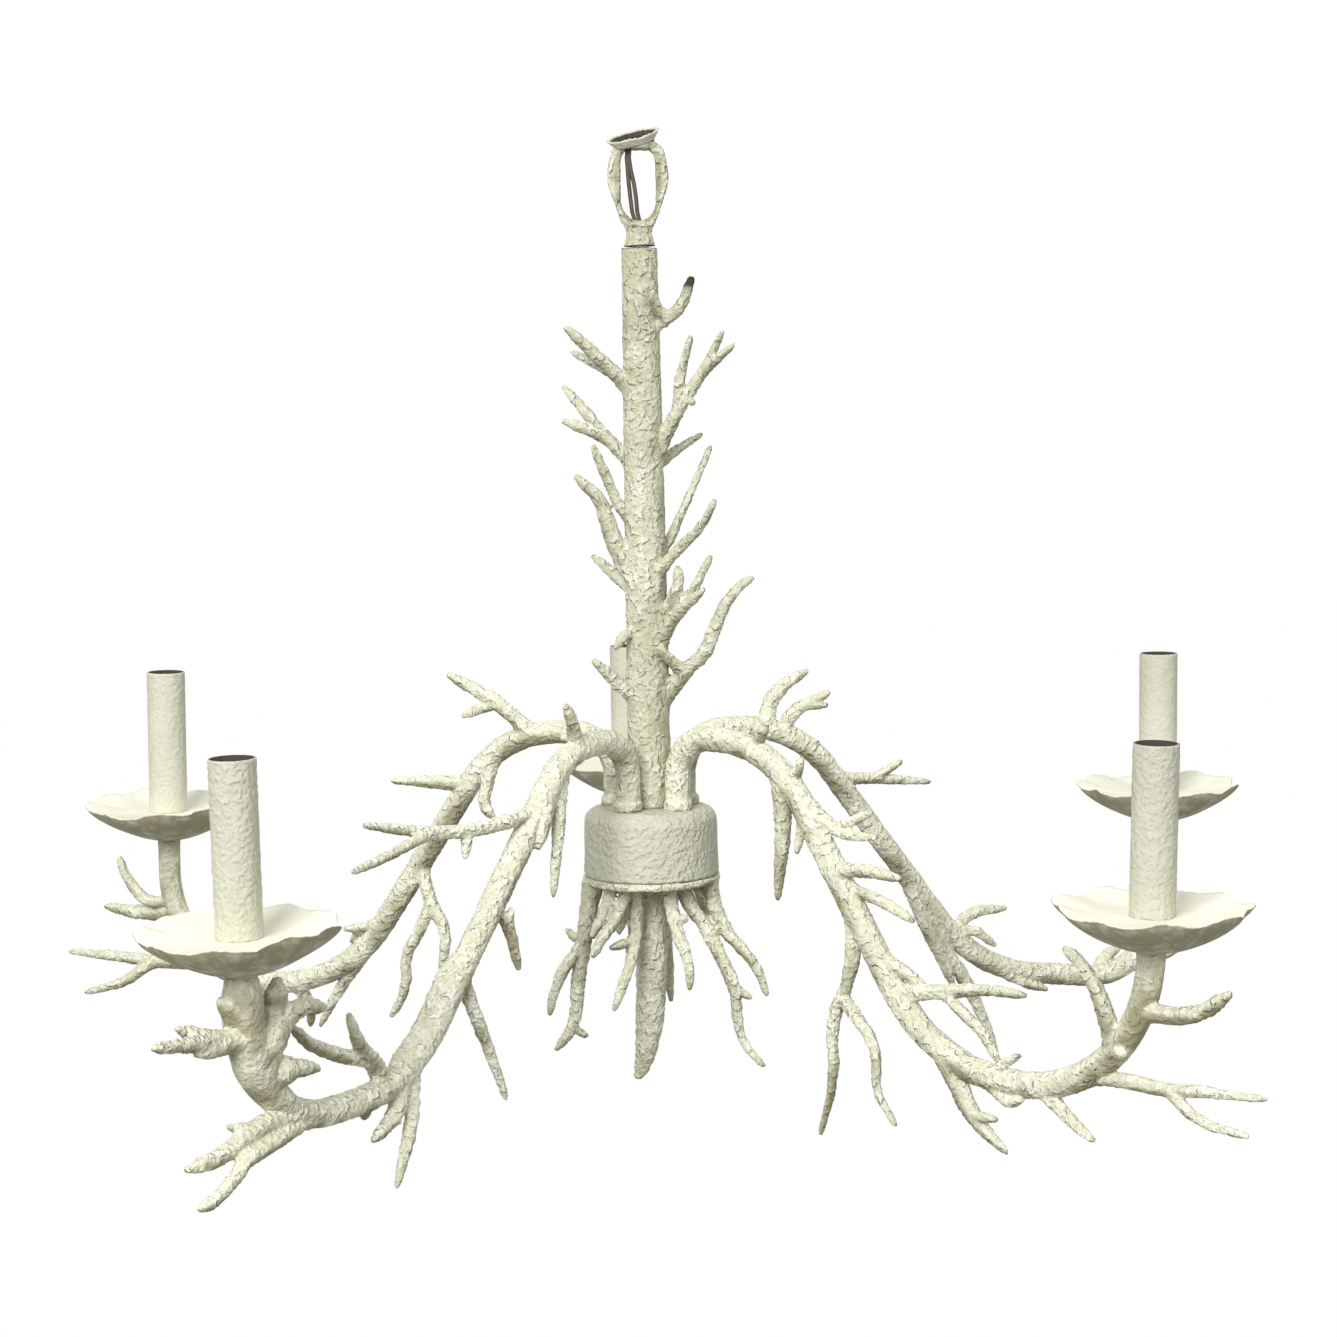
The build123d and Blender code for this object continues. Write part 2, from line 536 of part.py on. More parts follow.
def make_column():
    """Tapering column tube with its twigs."""
    with BuildPart() as column:
        with BuildSketch(level(HUB_HEIGHT)):
            Circle(COLUMN_FOOT_RADIUS)
        with BuildSketch(Plane.XY.offset(COLUMN_TOP_Z)):
            Circle(COLUMN_TOP_RADIUS)
        loft()
        for twig in COLUMN_TWIGS:
            grow(Vector(0, 0, HUB_TOP_Z + twig.at * COLUMN_HEIGHT), twig, *compass(twig.toward))
        bore(level(HUB_HEIGHT), COLUMN_BORE_RADIUS, COLUMN_HEIGHT)
    save(column.part, "column")


def make_pipe():
    """Threaded pipe from the yoke's neck into the hub, with its nut below the hub plate."""
    foot = HUB_HEIGHT - HUB_PLATE - NUT_HEIGHT - PIPE_STAND
    with BuildPart() as pipe:
        rod(level(foot), PIPE_RADIUS, COLUMN_TOP_Z + PIPE_GRIP - SEAM_Z - foot)
        bore(level(foot), PIPE_BORE_RADIUS, COLUMN_TOP_Z + PIPE_GRIP - SEAM_Z - foot)
    save(pipe.part, "center_pipe")
    with BuildPart() as pipe_nut:
        nut(level(HUB_HEIGHT - HUB_PLATE - NUT_HEIGHT), PIPE_NUT_FLATS, PIPE_RADIUS + THREAD_GAP)
    save(pipe_nut.part, "pipe_nut")


def make_hub():
    """Hub cup, open below, with holes for the pipe and the five arms and two lugs for the bar."""
    with BuildPart() as cup:
        with BuildSketch(Plane.XZ):
            with BuildLine():
                Polyline((0, SEAM_Z + HUB_SEAM), (HUB_FOOT_RADIUS, SEAM_Z + HUB_SEAM),
                         (HUB_SHOULDER_RADIUS, HUB_TOP_Z), (0, HUB_TOP_Z), close=True)
            make_face()
        revolve(axis=Axis.Z)
        fillet(cup.edges().filter_by(GeomType.CIRCLE).sort_by(Axis.Z)[-1], HUB_SHOULDER_FILLET)
        offset(amount=-HUB_WALL, openings=cup.faces().sort_by(Axis.Z)[0])
        reach = HUB_FOOT_RADIUS - HUB_WALL / 2
        for turn in (0, 180):
            outward, sideways = compass(BAR_TOWARD + turn)
            with BuildSketch(Plane(origin=outward * (reach - LUG_DEPTH) + Vector(0, 0, SEAM_Z + LUG_Z),
                                   x_dir=outward, z_dir=(0, 0, 1))):
                Rectangle(LUG_DEPTH, LUG_WIDTH, align=(Align.MIN, Align.CENTER))
            extrude(amount=LUG_HEIGHT)
        bore(level(HUB_HEIGHT - HUB_PLATE * 2), PIPE_RADIUS + HOLE_GAP, HUB_PLATE * 2)
        for arm in ARMS:
            outward, _ = compass(arm.toward)
            at = outward * FOOT_CIRCLE + Vector(0, 0, HUB_TOP_Z - HUB_PLATE * 2)
            bore(Plane(origin=at, z_dir=(0, 0, 1)), SPIGOT_RADIUS + HOLE_GAP, HUB_PLATE * 2)
    save(cup.part, "hub_cup")


def make_cover_fixing():
    """Cross bar on the cup's lugs, with the stud and nut that hold the root cover."""
    bar_z = LUG_Z + LUG_HEIGHT
    reach = HUB_FOOT_RADIUS - HUB_WALL - BAR_END_GAP * 2
    outward, _ = compass(BAR_TOWARD)
    with BuildPart() as bar:
        with BuildSketch(Plane(origin=(0, 0, SEAM_Z + bar_z), x_dir=outward, z_dir=(0, 0, 1))):
            Rectangle(reach * 2 - BAR_END_GAP * 2, BAR_WIDTH)
        extrude(amount=BAR_HEIGHT)
        bore(level(bar_z), STUD_RADIUS + THREAD_GAP, BAR_HEIGHT)
    save(bar.part, "cover_bar")
    stud_foot = -COVER_HEIGHT - STUD_GRIP
    stud_top = bar_z + BAR_HEIGHT + NUT_HEIGHT + STUD_STAND
    with BuildPart() as stud:
        rod(level(stud_foot), STUD_RADIUS, stud_top - stud_foot)
    save(stud.part, "cover_stud")
    with BuildPart() as stud_nut:
        nut(level(bar_z + BAR_HEIGHT), STUD_NUT_FLATS, STUD_RADIUS + THREAD_GAP)
    save(stud_nut.part, "cover_nut")
    with BuildPart() as block:
        rod(level(bar_z + BAR_HEIGHT + NUT_HEIGHT), BLOCK_RADIUS, BLOCK_HEIGHT)
        bore(level(bar_z + BAR_HEIGHT + NUT_HEIGHT), STUD_RADIUS + HOLE_GAP, STUD_STAND + HOLE_GAP)
        chamfer(block.edges().filter_by(GeomType.CIRCLE).sort_by(Axis.Z)[-1], BLOCK_CHAMFER)
    save(block.part, "junction_block")
    return bar_z + BAR_HEIGHT + NUT_HEIGHT + BLOCK_HEIGHT


def make_root_cover():
    """Cover disc under the hub with its hanging roots."""
    lip_outer = HUB_FOOT_RADIUS - HUB_WALL - COVER_LIP_GAP
    with BuildPart() as cover:
        rod(level(-COVER_HEIGHT), COVER_RADIUS, COVER_HEIGHT)
        with BuildSketch(level(0)):
            Circle(lip_outer)
            Circle(lip_outer - COVER_LIP_WALL, mode=Mode.SUBTRACT)
        extrude(amount=COVER_LIP_HEIGHT)
        for root in ROOTS:
            outward, sideways = compass(root.toward)
            start = outward * root.at + Vector(0, 0, SEAM_Z - COVER_HEIGHT / 2)
            grow(start, root, outward, sideways)
        bore(level(-COVER_HEIGHT), STUD_RADIUS + HOLE_GAP, COVER_HEIGHT)
    save(cover.part, "root_cover")


def make_spike():
    """Thick crooked spike, screwed on the stud under the root cover."""
    with BuildPart() as spike:
        for side, radius, below in SPIKE_STATIONS:
            with BuildSketch(Plane.XY.offset(SEAM_Z - below)):
                with Locations((side, 0)):
                    Circle(radius)
        loft()
        bore(level(-COVER_HEIGHT - STUD_GRIP - HOLE_GAP), STUD_RADIUS + THREAD_GAP, STUD_GRIP + HOLE_GAP)
    save(spike.part, "finial_spike")


def make_arm(arm):
    """Hollow arm with its twigs and the spigot that passes through the hub plate."""
    outward, sideways = compass(arm.toward)
    curve = arm_curve(arm)
    foot = Plane(origin=curve @ 0, z_dir=(0, 0, 1))
    seat = Plane(origin=curve @ 1, z_dir=-(curve % 1))
    with BuildPart() as branch:
        pipe_along(curve, arm.radius)
        rod(foot, FOOT_FLANGE_RADIUS, FOOT_FLANGE_HEIGHT)
        rod(foot.offset(-SPIGOT_LENGTH), SPIGOT_RADIUS, SPIGOT_LENGTH)
        for twig in arm.twigs:
            grow(curve @ twig.at, twig, outward, sideways)
        pipe_along(arm_curve(arm, SPIGOT_LENGTH + HOLE_GAP, HOLE_GAP), ARM_BORE_RADIUS, Mode.SUBTRACT)
        bore(seat, NIPPLE_RADIUS + THREAD_GAP, NIPPLE_GRIP + HOLE_GAP)
    save(branch.part, f"arm_{arm.name}")


def make_dish(arm):
    """Shallow scalloped candle dish on the arm's riser."""
    seat = candle_plane(arm)
    profile = upright(seat)
    rim = DISH_RADIUS + DISH_WAVE
    with BuildPart() as dish:
        with BuildSketch(profile):
            with BuildLine():
                Line((0, -DISH_DEPTH), (DISH_NECK_RADIUS, -DISH_DEPTH))
                ThreePointArc((DISH_NECK_RADIUS, -DISH_DEPTH), (DISH_BELLY_RADIUS, -DISH_BELLY_DEPTH),
                              (rim, DISH_RIM_RISE - DISH_RIM_EDGE))
                Line((rim, DISH_RIM_RISE - DISH_RIM_EDGE), (rim - DISH_RIM_EDGE, DISH_RIM_RISE))
                ThreePointArc((rim - DISH_RIM_EDGE, DISH_RIM_RISE),
                              ((rim + DISH_FLOOR_RADIUS) / 2, DISH_MIDWAY_RISE), (DISH_FLOOR_RADIUS, 0))
                Polyline((DISH_FLOOR_RADIUS, 0), (0, 0), (0, -DISH_DEPTH))
            make_face()
        revolve(axis=Axis(seat.origin, seat.z_dir))
        lobes = []
        for step in range(DISH_LOBES * 2):
            reach = DISH_RADIUS + DISH_WAVE * (1 - 2 * (step % 2)) - DISH_UNEVEN * sin(step * LOBE_STRAY)
            angle = radians(180 * step / DISH_LOBES + arm.toward)
            lobes.append((reach * cos(angle), reach * sin(angle)))
        with BuildSketch(seat.offset(-DISH_DEPTH)):
            with BuildLine():
                Spline(*lobes, periodic=True)
            make_face()
        extrude(amount=DISH_DEPTH + DISH_RIM_RISE, mode=Mode.INTERSECT)
        bore(seat.offset(-DISH_DEPTH), arm.radius + RISER_GAP, RISER_SOCKET_DEPTH)
        bore(seat.offset(-DISH_DEPTH), NIPPLE_RADIUS + HOLE_GAP, DISH_DEPTH)
    save(dish.part, f"dish_{arm.name}")


def make_candle(arm):
    """Bracket, lamp socket and lift-off sleeve on an arm's dish."""
    seat = candle_plane(arm)
    socket_foot = SLEEVE_HEIGHT - SOCKET_BELOW_SLEEVE - SOCKET_HEIGHT
    plate_foot = socket_foot - BRACKET_PLATE
    with BuildPart() as bracket:
        rod(seat, BRACKET_RADIUS, BRACKET_FOOT)
        rod(seat.offset(plate_foot), BRACKET_RADIUS, BRACKET_PLATE)
        with BuildSketch(seat):
            with Locations((BRACKET_RADIUS, 0)):
                Rectangle(STRAP_THICKNESS, STRAP_WIDTH)
        extrude(amount=socket_foot)
        bore(seat, NIPPLE_RADIUS + THREAD_GAP, BRACKET_FOOT)
        bore(seat.offset(plate_foot), NIPPLE_BORE_RADIUS, BRACKET_PLATE)
    save(bracket.part, f"bracket_{arm.name}")
    with BuildPart() as socket:
        rod(seat.offset(socket_foot), SOCKET_RADIUS, SOCKET_HEIGHT)
        chamfer(socket.edges().filter_by(GeomType.CIRCLE), SOCKET_CHAMFER)
        bore(seat.offset(socket_foot + SOCKET_HEIGHT - LAMP_THREAD_DEPTH), LAMP_THREAD_RADIUS,
             LAMP_THREAD_DEPTH)
    save(socket.part, f"socket_{arm.name}")
    with BuildPart() as sleeve:
        rod(seat.offset(SLEEVE_SEAT_GAP), SLEEVE_RADIUS, SLEEVE_HEIGHT)
        bore(seat.offset(SLEEVE_SEAT_GAP), SLEEVE_RADIUS - SLEEVE_WALL, SLEEVE_HEIGHT)
    save(sleeve.part, f"sleeve_{arm.name}")


def make_fasteners():
    """Nuts under the hub plate, and the nipples and nuts that hold the candles."""
    with BuildPart() as arm_nuts:
        for arm in ARMS:
            outward, _ = compass(arm.toward)
            under = outward * FOOT_CIRCLE + Vector(0, 0, HUB_TOP_Z - HUB_PLATE - NUT_HEIGHT)
            nut(Plane(origin=under, z_dir=(0, 0, 1)), ARM_NUT_FLATS, SPIGOT_RADIUS + THREAD_GAP)
    save(arm_nuts.part, "arm_nuts")
    to_riser = DISH_DEPTH - RISER_SOCKET_DEPTH + RISER_GAP
    length = to_riser + NIPPLE_GRIP + BRACKET_FOOT + NUT_HEIGHT
    with BuildPart() as nipples:
        for arm in ARMS:
            foot = candle_plane(arm).offset(-to_riser - NIPPLE_GRIP)
            rod(foot, NIPPLE_RADIUS, length)
            bore(foot, NIPPLE_BORE_RADIUS, length)
    save(nipples.part, "candle_nipples")
    with BuildPart() as candle_nuts:
        for arm in ARMS:
            nut(candle_plane(arm).offset(BRACKET_FOOT), CANDLE_NUT_FLATS, NIPPLE_RADIUS + THREAD_GAP)
    save(candle_nuts.part, "candle_nuts")


def make_wires(block_top):
    """Arm leads from the junction block to the sockets, and the supply lead."""
    to_riser = DISH_DEPTH - RISER_SOCKET_DEPTH + RISER_GAP
    socket_foot = SLEEVE_HEIGHT - SOCKET_BELOW_SLEEVE - SOCKET_HEIGHT
    for arm in ARMS:
        with BuildPart() as lead:
            pipe_along(arm_curve(arm, HUB_HEIGHT - block_top, to_riser + socket_foot), LEAD_RADIUS)
        save(lead.part, f"lead_{arm.name}")
    last_turn = (0, 0, COLUMN_TOP_Z + NECK_HEIGHT)
    with BuildLine() as route:
        FilletPolyline(*SUPPLY_ROUTE, last_turn, (0, 0, SEAM_Z + block_top), radius=SUPPLY_BENDS)
    with BuildPart() as supply:
        pipe_along(route.line, SUPPLY_RADIUS)
    save(supply.part, "supply_lead")


def main():
    os.makedirs("parts", exist_ok=True)
    make_yoke()
    make_collar()
    make_column()
    make_pipe()
    make_hub()
    block_top = make_cover_fixing()
    make_root_cover()
    make_spike()
    for arm in ARMS:
        make_arm(arm)
        make_dish(arm)
        make_candle(arm)
    make_fasteners()
    make_wires(block_top)


if __name__ == "__main__":
    main()
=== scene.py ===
import json
import math

import bpy
import numpy as np
from mathutils import Matrix, Vector, noise
from mathutils.bvhtree import BVHTree


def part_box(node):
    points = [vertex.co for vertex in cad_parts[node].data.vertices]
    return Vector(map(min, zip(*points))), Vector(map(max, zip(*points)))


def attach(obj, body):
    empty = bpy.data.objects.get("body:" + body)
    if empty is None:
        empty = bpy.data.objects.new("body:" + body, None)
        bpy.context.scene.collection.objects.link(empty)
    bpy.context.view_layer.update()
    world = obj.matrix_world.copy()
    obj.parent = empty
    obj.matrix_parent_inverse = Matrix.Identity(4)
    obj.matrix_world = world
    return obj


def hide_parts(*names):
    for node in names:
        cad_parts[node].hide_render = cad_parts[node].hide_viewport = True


# Coral branch chandelier, in metres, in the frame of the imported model: the origin is the
# hanging hole at the very top, +Z is up and the viewer stands on the -Y side.

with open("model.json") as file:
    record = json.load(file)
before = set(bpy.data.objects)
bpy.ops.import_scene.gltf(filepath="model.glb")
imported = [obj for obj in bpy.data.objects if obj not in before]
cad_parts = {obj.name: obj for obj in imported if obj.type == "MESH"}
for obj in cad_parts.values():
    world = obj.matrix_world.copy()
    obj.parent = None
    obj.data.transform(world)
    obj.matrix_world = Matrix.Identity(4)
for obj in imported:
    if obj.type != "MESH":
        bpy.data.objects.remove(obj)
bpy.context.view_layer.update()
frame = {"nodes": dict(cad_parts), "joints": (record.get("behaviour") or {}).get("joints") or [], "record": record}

# Camera of the photograph
IMAGE_SIDE = 1337
CAMERA_PLACE = Vector((0.003234, -1.80169, -0.15654))
CAMERA_YAW = 0.338
CAMERA_PITCH = -6.064
CAMERA_ROLL = -1.078
FOCAL_PIXELS = 2729.7
CENTRE_RISE_PIXELS = 1.57

# Coral crust: seed of its chance bends, voxel and softening of the remeshed forms, size and height
# of its worms and lumps
CRUST_SEED = 5
CORAL_VOXEL = 0.001
YOKE_VOXEL = 0.0008
SOFTEN_ROUNDS = 4
WORM_SIZE = 0.0055
LUMP_SIZE = 0.014
WORM_HEIGHT = 0.0007
LUMP_HEIGHT = 0.0013

# Brown wash and painted shade: the most that a surface takes before it turns to the near-black of rust and
# painted shadow, how much darker the smooth risers under the dishes are painted, and the thinness where the
# stain of the tips starts and how far it grows
WASH_AND_SHADE_MOST = 0.85
RISER_DARKENING = 0.2
TIP_START = 0.62
TIP_SPAN = 0.3

# Smooth crust round the risers: the height it starts under, its least, and where it grows rough
RISER_TOP = -0.40
RISER_CRUST = 0.25
RISER_SMOOTH_RADIUS = 0.012
RISER_ROUGH_SPAN = 0.022

# Torn calyx round the column's foot: its reach, height of its lip, length and height of its taper
CALYX_RADIUS = 0.0165
CALYX_Z = -0.355
CALYX_LENGTH = 0.018
CALYX_LIFT = 0.0016

# Dish: radii and heights as in the solids, its waves, and the painted shade on its edge, belly and foot
DISH_FLOOR_RADIUS = 0.024
DISH_RADIUS = 0.0555
DISH_LOBES = 9
DISH_LOBE_REACH = 0.0022
DISH_WAVE = 0.0020
DISH_EDGE = 0.0012
DISH_RIM_RISE = 0.006
DISH_DEPTH = 0.020
DISH_NECK_RADIUS = 0.011
DISH_HOLE_RADIUS = 0.0051
DISH_RISER_RADIUS = 0.0083
DISH_SOCKET_DEPTH = 0.006
DISH_STEPS = 216
DISH_EDGE_SHADE = 1.3
DISH_BELLY_SHADE = 1.1
DISH_BELLY_RINGS = 7
DISH_FOOT_SHADE = 0.95

# Supply wire: radius and sides of a core, and its way down as (x, z, half the cores' gap in radii)
WIRE_RADIUS = 0.0014
WIRE_SIDES = 12
WIRE_ROUTE = (
    (-0.0045, -0.001, 0.4),
    (-0.0058, -0.009, 0.4),
    (-0.0064, -0.014, 0.5),
    (-0.0056, -0.022, 0.7),
    (-0.0044, -0.031, 1.2),
    (-0.0034, -0.040, 1.3),
    (-0.0026, -0.049, 1.2),
    (-0.0008, -0.056, 1),
    (0, -0.064, 1),
    (0, -0.2, 1),
    (0, -0.4, 1),
)

# Collar: its radii, wall and height, how it leans, and the centre of its foot
COLLAR_FOOT_RADIUS = 0.0135
COLLAR_TOP_RADIUS = 0.0176
COLLAR_WALL = 0.0019
COLLAR_HEIGHT = 0.0052
COLLAR_STEPS = 144
COLLAR_LEFT = math.radians(13)
COLLAR_FRONT = math.radians(14)
COLLAR_PLACE = Vector((-0.0018, 0.0012, -0.0048))

# Crust over thin branches: the thickness under which it lies proud, its most, and how much of its
# roughness it loses there
THIN_BRANCH = 0.010
TWIG_LIFT = 0.0009
THIN_SMOOTHNESS = 0.75

# The column's highest twig: where it starts, its thicker crust, its wash and its rusty tip
TOP_TWIG_X = 0.0150
TOP_TWIG_Z = -0.124
TOP_TWIG_LIFT = 0.0008
TOP_TWIG_WASH = 0.25
TOP_RUST_Z = -0.104
TOP_RUST_SPAN = 0.008

# Thicker crust round the front left riser: its most, and how the riser's centre slants inward
RISER_LIFT = 0.0036
RISER_SLANT = 0.26

# Column: top and foot of the stretch where the crust lies inside the solid, its depth there,
# the radius of the bare trunk, and the dark joint above it
TRUNK_TOP = -0.072
TRUNK_FOOT = -0.25
TRUNK_DEPTH = 0.0010
TRUNK_RADIUS = 0.0145
JOINT_Z = -0.0727

# Yoke: the seat of the collar above, painted dark as shadow, and the dark joint below, the inner faces of the
# window, painted with shade, and the place, depth and half height of the waist, with the thinner neck under it
YOKE_SEAT_Z = -0.0045
YOKE_JOINT_Z = -0.0713
WINDOW_TOP = -0.009
WINDOW_FOOT = -0.056
WINDOW_REACH = 0.015
YOKE_WAIST_Z = -0.0625
YOKE_WAIST = 0.0022
YOKE_WAIST_SPAN = 0.0055
NECK_TOP = -0.057
NECK_DEPTH = 0.0007

# Studio: light of the sky from below and from above, its tint, the floor, and the soft lamps as
# (name, place, watts), which all face one point
SKY_BELOW = 0.02
SKY_ABOVE = 0.64
SKY_TINT = (1, 1, 0.95, 1)
FLOOR_REACH = 12
FLOOR_Z = -1.35
FLOOR_COLOUR = (0.3, 0.3, 0.28, 1)
FLOOR_WHITENESS = 0.97
LAMP_SIZE = 1.6
LAMP_AIM = Vector((0, 0, -0.4))
LAMPS = (
    ("key", (-1.1, -2.5, 1.15), 98),
    ("fill", (2.0, -2.0, 0.7), 18),
    ("back", (0.6, 2.4, 1.8), 24),
)

# Candle sleeve: its size, how rough its coat is, the share of that at the back, and its brown top
SLEEVE_RADIUS = 0.01375
SLEEVE_WALL = 0.0016
SLEEVE_HEIGHT = 0.100
SLEEVE_ROUGHNESS = 0.00022
SLEEVE_BACK_SHARE = 0.4
SLEEVE_SHADE = 0.12
SLEEVE_ROUND_STEPS = 96
SLEEVE_TALL_STEPS = 110

# Arms, in the order that sets the chance forms of their dishes and sleeves
ARMS = ("front_left", "front_right", "back_left", "back_right", "rear")

# Colours, as linear light
DARK = (0, 0, 0, 1)
LIGHT = (1, 1, 1, 1)
CREAM = (0.82, 0.82, 0.68, 1)
CREAM_PALE = (0.89, 0.89, 0.77, 1)
# HOLLOW_SHADE and PIT_SHADE are painted shade: darker where the worms and the small bumps are low
HOLLOW_SHADE = (0.84, 0.84, 0.78, 1)
PIT_SHADE = (0.89, 0.885, 0.84, 1)
SPECK = (0.62, 0.60, 0.50, 1)
# WASH_AND_SHADE is brown wash, and the same colour also paints shade on faces that look down, on the dishes'
# undersides and inside the yoke's window
WASH_AND_SHADE = (0.24, 0.22, 0.12, 1)
# RUST_AND_SHADOW is the near-black of rust and dark joints, and also paints shadow inside the collar, its seat on
# the yoke and the sleeves
RUST_AND_SHADOW = (0.045, 0.036, 0.026, 1)

# Fineness of the painted worms and of the small bumps, per metre
WORM_SCALE = 104.0
BUMP_SCALE = 310.0


def grey(value):
    """A value as a colour."""
    return value, value, value, 1


def links_of(material):
    """The node tree of a new material, its shader and a function that adds nodes."""
    material.use_nodes = True
    tree = material.node_tree
    shader = tree.nodes["Principled BSDF"]

    def add(kind, **values):
        node = tree.nodes.new(kind)
        for name, value in values.items():
            if hasattr(node, name):
                setattr(node, name, value)
            else:
                node.inputs[name.replace("_", " ").title()].default_value = value
        return node

    return tree, shader, add


def ramp(tree, add, source, stops):
    """A colour ramp on a value, from (place, colour) stops."""
    node = add("ShaderNodeValToRGB")
    elements = node.color_ramp.elements
    while len(elements) < len(stops):
        elements.new(0.5)
    for element, (place, colour) in zip(elements, stops):
        element.position = place
        element.color = colour
    tree.links.new(source, node.inputs["Fac"])
    return node.outputs["Color"]


def mixed(tree, add, blend, share, below, above):
    """Two colours blended, where the share and the upper colour are values or sockets."""
    node = add("ShaderNodeMix", data_type="RGBA", blend_type=blend)
    for value, socket in ((share, node.inputs[0]), (below, node.inputs[6]), (above, node.inputs[7])):
        if isinstance(value, (float, tuple)):
            socket.default_value = value
        else:
            tree.links.new(value, socket)
    return node.outputs[2]


def plaster(name, worm_height, bump_height, grain_height, crust=1.0, tone=LIGHT):
    """Rough cream paint: worm-like ridges and small bumps with painted shade in their hollows and pits, a grain,
    and wash with painted shade and rust with painted shadow where they lie.
    """
    material = bpy.data.materials.new(name)
    tree, shader, add = links_of(material)
    link = tree.links.new
    place = add("ShaderNodeTexCoord").outputs["Object"]
    warp = add("ShaderNodeTexNoise", Scale=120.0, Detail=1.0)
    link(place, warp.inputs["Vector"])
    sway = add("ShaderNodeVectorMath", operation="MULTIPLY_ADD")
    link(warp.outputs["Color"], sway.inputs[0])
    sway.inputs[1].default_value = (0.006, 0.006, 0.006)
    link(place, sway.inputs[2])
    worms = add("ShaderNodeTexNoise", Scale=WORM_SCALE, Detail=1.5, Roughness=0.45)
    link(sway.outputs[0], worms.inputs["Vector"])
    band = ((0.40, DARK), (0.475, LIGHT), (0.525, LIGHT), (0.60, DARK))
    line = ramp(tree, add, worms.outputs["Fac"], band)
    breaks = add("ShaderNodeTexNoise", Scale=WORM_SCALE * 1.7, Detail=1.0)
    link(place, breaks.inputs["Vector"])
    gate = ramp(tree, add, breaks.outputs["Fac"], ((0.36, DARK), (0.50, LIGHT)))
    ridge = mixed(tree, add, "MULTIPLY", 1.0, line, gate)
    spots = add("ShaderNodeTexNoise", Scale=BUMP_SCALE, Detail=1.0)
    link(place, spots.inputs["Vector"])
    spot = ramp(tree, add, spots.outputs["Fac"], ((0.38, DARK), (0.66, LIGHT)))
    grain = add("ShaderNodeTexNoise", Scale=1100.0, Detail=4.0, Roughness=0.65)
    blotches = add("ShaderNodeTexNoise", Scale=30.0, Detail=4.0, Roughness=0.6)
    for texture in (blotches, grain):
        link(place, texture.inputs["Vector"])

    colour = ramp(tree, add, blotches.outputs["Fac"], ((0.35, CREAM), (0.65, CREAM_PALE)))
    # Painted shade in the hollows between the worms and in the pits of the small bumps
    hollow_shade = ramp(tree, add, ridge, ((0.0, HOLLOW_SHADE), (0.7, LIGHT)))
    colour = mixed(tree, add, "MULTIPLY", crust, colour, hollow_shade)
    colour = mixed(tree, add, "MULTIPLY", crust, colour, ramp(tree, add, spot, ((0.0, PIT_SHADE), (0.6, LIGHT))))
    speck = ramp(tree, add, grain.outputs["Fac"], ((0.30, SPECK), (0.45, LIGHT)))
    colour = mixed(tree, add, "MULTIPLY", 0.25, colour, speck)
    colour = mixed(tree, add, "MULTIPLY", 1.0, colour, tone)
    # The wash attribute lays on brown wash and painted shade, and near its top the near-black of rust and painted
    # shadow
    wash_and_shade = add("ShaderNodeAttribute", attribute_name="wash_and_shade").outputs["Fac"]
    colour = mixed(tree, add, "MIX", wash_and_shade, colour, WASH_AND_SHADE)
    rust_and_shadow = ramp(tree, add, wash_and_shade, ((0.86, DARK), (1.0, LIGHT)))
    colour = mixed(tree, add, "MIX", rust_and_shadow, colour, RUST_AND_SHADOW)
    link(colour, shader.inputs["Base Color"])

    dull = ramp(tree, add, blotches.outputs["Fac"], ((0.3, grey(0.72)), (0.7, grey(0.9))))
    link(dull, shader.inputs["Roughness"])
    relief = add("ShaderNodeMath", operation="MULTIPLY")
    link(ridge, relief.inputs[0])
    link(add("ShaderNodeAttribute", attribute_name="crust").outputs["Fac"], relief.inputs[1])
    normal = None
    reliefs = (
        (relief.outputs[0], worm_height),
        (spot, bump_height),
        (grain.outputs["Fac"], grain_height),
    )
    for height, distance in reliefs:
        bump = add("ShaderNodeBump", Strength=1.0, Distance=distance)
        link(height, bump.inputs["Height"])
        if normal:
            link(normal, bump.inputs["Normal"])
        normal = bump.outputs["Normal"]
    link(normal, shader.inputs["Normal"])
    return material


def hardware(name, dark, light, metallic, rough, scale):
    """Plain hidden hardware: two close tones, fine scratches and a soft sheen."""
    material = bpy.data.materials.new(name)
    tree, shader, add = links_of(material)
    place = add("ShaderNodeTexCoord").outputs["Object"]
    wear = add("ShaderNodeTexNoise", Scale=scale, Detail=4.0, Roughness=0.6)
    tree.links.new(place, wear.inputs["Vector"])
    colour = ramp(tree, add, wear.outputs["Fac"], ((0.35, dark), (0.65, light)))
    tree.links.new(colour, shader.inputs["Base Color"])
    shader.inputs["Metallic"].default_value = metallic
    dull = ramp(tree, add, wear.outputs["Fac"], ((0.3, grey(rough - 0.1)), (0.7, grey(rough + 0.1))))
    tree.links.new(dull, shader.inputs["Roughness"])
    bump = add("ShaderNodeBump", Strength=0.3, Distance=0.0001)
    tree.links.new(wear.outputs["Fac"], bump.inputs["Height"])
    tree.links.new(bump.outputs["Normal"], shader.inputs["Normal"])
    return material


def show(name, mesh, material, body, slot, *nodes):
    """Links a mesh as a piece that rides on a body and stands for CAD nodes."""
    piece = bpy.data.objects.new(name, mesh)
    bpy.context.scene.collection.objects.link(piece)
    mesh.materials.clear()
    mesh.materials.append(material)
    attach(piece, body)
    if nodes:
        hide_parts(*nodes)
    return piece


